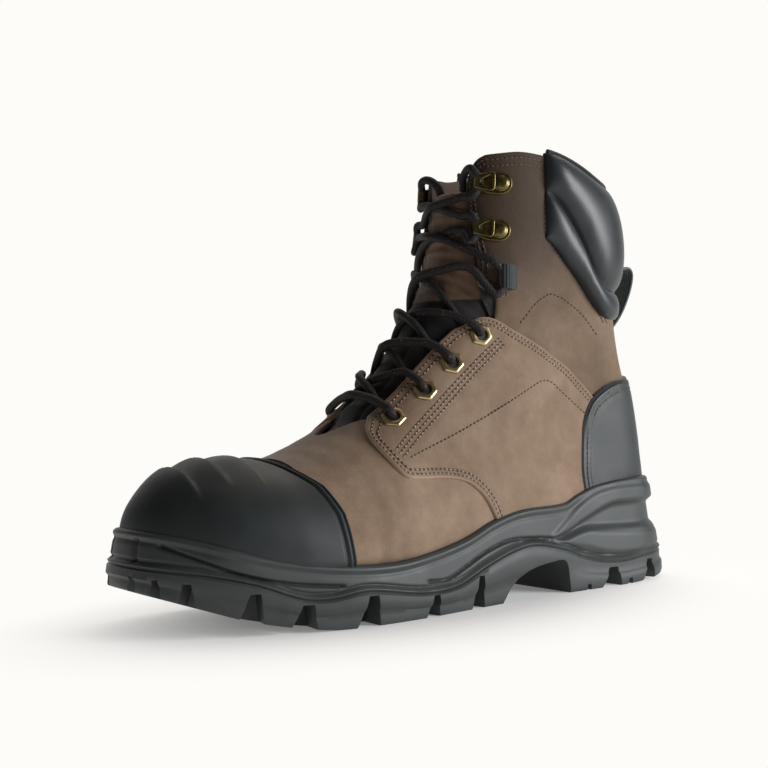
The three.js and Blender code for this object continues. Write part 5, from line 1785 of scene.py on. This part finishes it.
def makeHook(side, tag, number, along, up):
    seat = seatOn(side, along, up)
    path = hookPath()
    far = farAlong(path)
    ahead = unit(np.gradient(path, far, axis=0))
    inward = np.stack([-ahead[:, 1], ahead[:, 0]], 1)
    baseLength = hook["baseEnd"] - hook["baseStart"]
    bendEnd = baseLength + math.pi * hook["gap"] / 2
    total = far[-1]
    wide, neck, headWide = hook["baseWide"], hook["bendWide"], hook["headWide"]
    rear = [(wide + wide * math.cos(t), wide * math.sin(t)) for t in np.linspace(np.pi, np.pi / 2, 9)]
    ahead = [(baseLength - 5, wide * 0.94), (baseLength - 1, neck + 0.5), (baseLength + 3, neck),
             (bendEnd - 1, neck + 0.25), (bendEnd + 3, neck + 0.95), (total - 2.2, headWide),
             (total - 0.9, headWide - 0.35), (total - 0.15, headWide - 1.7), (total, 0)]
    one = smoothLine(rear + ahead, 0.7)
    loop = np.vstack([one, (one[::-1] * np.array([1, -1]))[1:-1]])
    # the opening: straight towards the end, pointed towards the bend
    x0, x1 = total - 7.4, total - 1.75
    corner = [(x0, 0), (x0 + 0.5, 1.05), (x1 - 1.3, 3.05), (x1 - 0.35, 3.2), (x1, 2.6)]
    upperHalf = smoothLine(corner, 0.6)
    hole = np.vstack([upperHalf, (upperHalf[::-1] * np.array([1, -1]))[:-1]])
    hole = evenly(np.vstack([hole, hole[:1]]), 0.6)[:-1]

    def place(flat, lift):
        at = flat[:, 0]
        f = np.interp(at, far, path[:, 0]) + np.interp(at, far, inward[:, 0]) * lift
        o = np.interp(at, far, path[:, 1]) + np.interp(at, far, inward[:, 1]) * lift
        middle, forwards, upwards, outwards = seat[:4]
        return middle + forwards * f[:, None] + upwards * flat[:, 1:2] + outwards * o[:, None]

    name = "hook_%s_%d" % (tag, number)
    panel(name, loop, place, 0, hook["metal"], antiqueBrass, spacing=0.75, edge=0.45,
          holes=[hole], stands=[name], bothSides=True)
    # domed rivet with a flange
    radius = hook["rivet"]
    dome = [(radius, 0, 0), (radius, 0.3, 0), (radius - 0.25, 0.55, 0)]
    dome += [((radius - 0.4) * math.cos(t), 0.55 + 1.5 * math.sin(t), 0) for t in np.linspace(0.05, 1.5, 9)]
    points, faces = turned(dome, seat, out=hook["metal"], forward=hook["baseStart"] + wide, sides=40, ring=False)
    finishMesh(name + "_rivet", points, faces, antiqueBrass, [name], sharp=35)


# rings of a flat strap with rounded sides; its width lies along the given direction
def strapRings(points, wide, thick, across, sides=20):
    line = smoothLine(points, 1.0)
    ahead = unit(np.gradient(line, axis=0))
    across = np.asarray(across, float)
    width = unit(across - ahead * (ahead @ across)[:, None])
    out = np.cross(ahead, width)
    turn = np.linspace(0, 2 * np.pi, sides, endpoint=False)
    c, s = np.cos(turn), np.sin(turn)
    flatC, flatS = np.sign(c) * np.abs(c) ** 0.35, np.sign(s) * np.abs(s) ** 0.7
    sideways = width[:, None] * (flatC * wide / 2)[:, None]
    rings = line[:, None] + sideways + out[:, None] * (flatS * thick / 2)[:, None]
    far = farAlong(line)
    flat = np.stack(np.broadcast_arrays(far[:, None], (flatC * wide / 2)[None]), -1).reshape(-1, 2)
    return rings, np.vstack([flat, [[far[0], 0], [far[-1], 0]]])


def strap(name, points, wide, thick, across, material, stands):
    rings, flat = strapRings(points, wide, thick, across)
    points, faces = cappedRings(rings)
    finishMesh(name, points, faces, material, stands, sharp=60, flat=flat)


def makeLoops():
    for side, tag in ((1, "lateral"), (-1, "medial")):
        seat = seatOn(side, *fastenings["loop"])
        path = [(-3.4, 0.9), (-2.6, 1.4), (-1, 3.4), (1.4, 5.6), (4.4, 6.0), (6.0, 3.8), (4.5, 1.6), (1, 0.9),
                (-2.6, 0.5)]
        points = [seated(seat, forward, 0, out) for forward, out in path]
        strap("laceLoop_" + tag, points, 12.4, 1.5, seat[2], loopWebbing, ["lace_loop_" + tag])


pullLoop = {
    "path": [
        (14.6, 157), (19.5, 163.4), (26, 167.6), (33, 170.2), (38.4, 171), (41, 168), (40.2, 162), (36.4, 153),
        (30.4, 143.6), (22.5, 135.6), (15.4, 131)],
    "width": 15.5,
    "thickness": 1.6,
}


def makePullLoop():
    points = [(0, y, z) for y, z in pullLoop["path"]]
    strap("pullLoop", points, pullLoop["width"], pullLoop["thickness"], (1, 0, 0), ribbedWebbingWithPaintedLight, ["pull_loop"])


# one lace: a bar across the lowest eyelets, then each end crosses the tongue up to the hooks
def makeLaces():
    half = fastenings["lace"] / 2
    seats = {side: [seatOn(side, *place) for place in fastenings["eyelets"]] for side in (1, -1)}
    loops = {side: seatOn(side, *fastenings["loop"]) for side in (1, -1)}
    hooks = {side: [seatOn(side, *place) for place in fastenings["hooks"]] for side in (1, -1)}
    over = leather["quarterStep"] + half
    bar = []
    for side in (1, -1):
        seat = seats[side][0]
        ends = [seated(seat, 0.9, 0.3, -3.2), seated(seat, 1.1, 0.3, 1.2), seated(seat, 3.0, 0.4, over + 1.2)]
        edge = acrossThroat(seat[4], side * throatWidth(seat[4]) * 0.98, over + 0.1)
        inner = acrossThroat(seat[4], side * throatWidth(seat[4]) * 0.5, 3.6)
        part = [*ends, edge, inner]
        bar += part if side > 0 else [acrossThroat(seat[4], 0.0, 4.4), *part[::-1]]
    strands = {1: [], -1: []}
    for start in (1, -1):
        path = []
        side = start
        for level in range(4):
            low = seats[side][level]
            path.append(seated(low, 1.0, 0.3, -3.4))
            path += lowCrossing(side, level, start, loops, seats, half, over)
            side = -side
            if level < 3:
                high = seats[side][level + 1]
                path += [seated(high, 3.0, 0.2, over + 1.1), seated(high, 1.1, 0.3, 1.2)]
        # the webbing loop, entered from below
        loop = loops[side]
        path += [seated(loop, 8.5, -9, half + 0.9), seated(loop, 3.6, 0, half + 1.3),
                 seated(loop, 9.5, 7.5, half + 0.9)]
        path += throatCrossing(side, loop[4] + 0.35, hooks[-side][0][4] - 0.35, start, 0.6, half)
        side = -side
        for number in (0, 1):
            place = hooks[side][number]
            path += [seated(place, 9.5, -7, half + 0.4), seated(place, 5.9, 0, half + 0.45),
                     seated(place, 9.8, 6.5, half + 0.4)]
            if number == 0:
                path += throatCrossing(side, place[4] + 0.4, hooks[-side][1][4] - 0.45, start, 0.6, half)
                side = -side
        end = hooks[side][1][4]
        path += [acrossThroat(end + 0.3, side * throatWidth(end + 0.3) * 0.95, 0.8),
                 acrossThroat(end + 0.1, side * throatWidth(end + 0.1) * 0.7, -3.5),
                 acrossThroat(end - 0.5, side * throatWidth(end - 0.5) * 0.8, -8)]
        strands[start] = path
    rings, far = tube(bar, fastenings["lace"], fastenings["lace"] * 0.9, sides=16, pitch=0.9)
    tubeMesh("laceBar", rings, far, braidedLace, ["lace_bar"])
    for start, tag in ((1, "one"), (-1, "two")):
        rings, far = tube(strands[start], fastenings["lace"], fastenings["lace"] * 0.9, sides=16, pitch=0.9)
        tubeMesh("lace_" + tag, rings, far, braidedLace, ["lace_crossing_%d" % k for k in range(1, 7)])


# points across the throat between two stations, with their lifts at shares of the way
def acrossBetween(side, low, high, lifts):
    widths = throatWidth(low), throatWidth(high)
    return [acrossThroat(mix(low, high, t), side * mix(widths[0], -widths[1], t), lift) for t, lift in lifts]


def throatCrossing(side, low, high, start, under, half):
    rise = 5.6 if start > 0 else 2.0
    return acrossBetween(side, low, high, [
        (0.04, half * under), (0.28, rise * 0.5 + 0.3), (0.5, rise), (0.72, rise * 0.5 + 0.6),
        (0.95, half * 0.95 + 0.6)])


# from under an eyelet to the next one opposite, or to the webbing loop after the uppermost
def lowCrossing(side, level, start, loops, seats, half, over):
    toEyelet = level < 3
    low = seats[side][level][4]
    high = seats[-side][level + 1][4] if toEyelet else loops[-side][4] - 0.55
    rise = 6.0 if start > 0 else 2.2
    end = over + 0.2 if toEyelet else half + 0.5
    return acrossBetween(side, low, high, [
        (0.02, -2.4), (0.26, rise * 0.4 - 0.6), (0.5, rise), (0.75, rise * 0.4 + 1.4), (0.98, end)])


def makeInsole():
    station = np.linspace(0.45, 9.3, 90)
    share = np.linspace(-1, 1, 30)
    at = lastSection(station)
    low = np.arccos(2 * 0.1 - 1)
    right = lastSurface(station, np.full(station.shape, low))[:, 0] - 3
    left = lastSurface(station, np.full(station.shape, -low))[:, 0] + 3
    x = mix(left[:, None], right[:, None], (share[None, :] + 1) / 2)
    y = np.broadcast_to((at["baseY"] + (at["ridgeY"] - at["baseY"]) * 0.02)[:, None], x.shape)
    z = np.broadcast_to(at["baseZ"][:, None], x.shape) + 1.2 * share[None, :] ** 4
    top = np.stack([x, y, z + 4.6], -1)
    gridSheet("insole", top, np.stack([x, y, z + 0.8], -1), insoleCloth, ["insole"], sharp=60)


# black binding tape round the collar; the same black paints the shadow at the counter's edge
tapeAndPaintedShadow = clothMaterial("bindingTapeAndPaintedShadow", "#0c0d0e", "#1d1f20", 1200)
makeToeCap()
makeCounter()
print("cap and counter made")
makeCollar()
print("collar made")
makeTongue()
makeEyelets()
for sideSign, sideTag in ((1, "lateral"), (-1, "medial")):
    for hookNumber, hookPlace in enumerate(fastenings["hooks"], 1):
        makeHook(sideSign, sideTag, hookNumber, *hookPlace)
makeLoops()
makePullLoop()
makeLaces()
makeInsole()
print("tongue, metal and laces made")
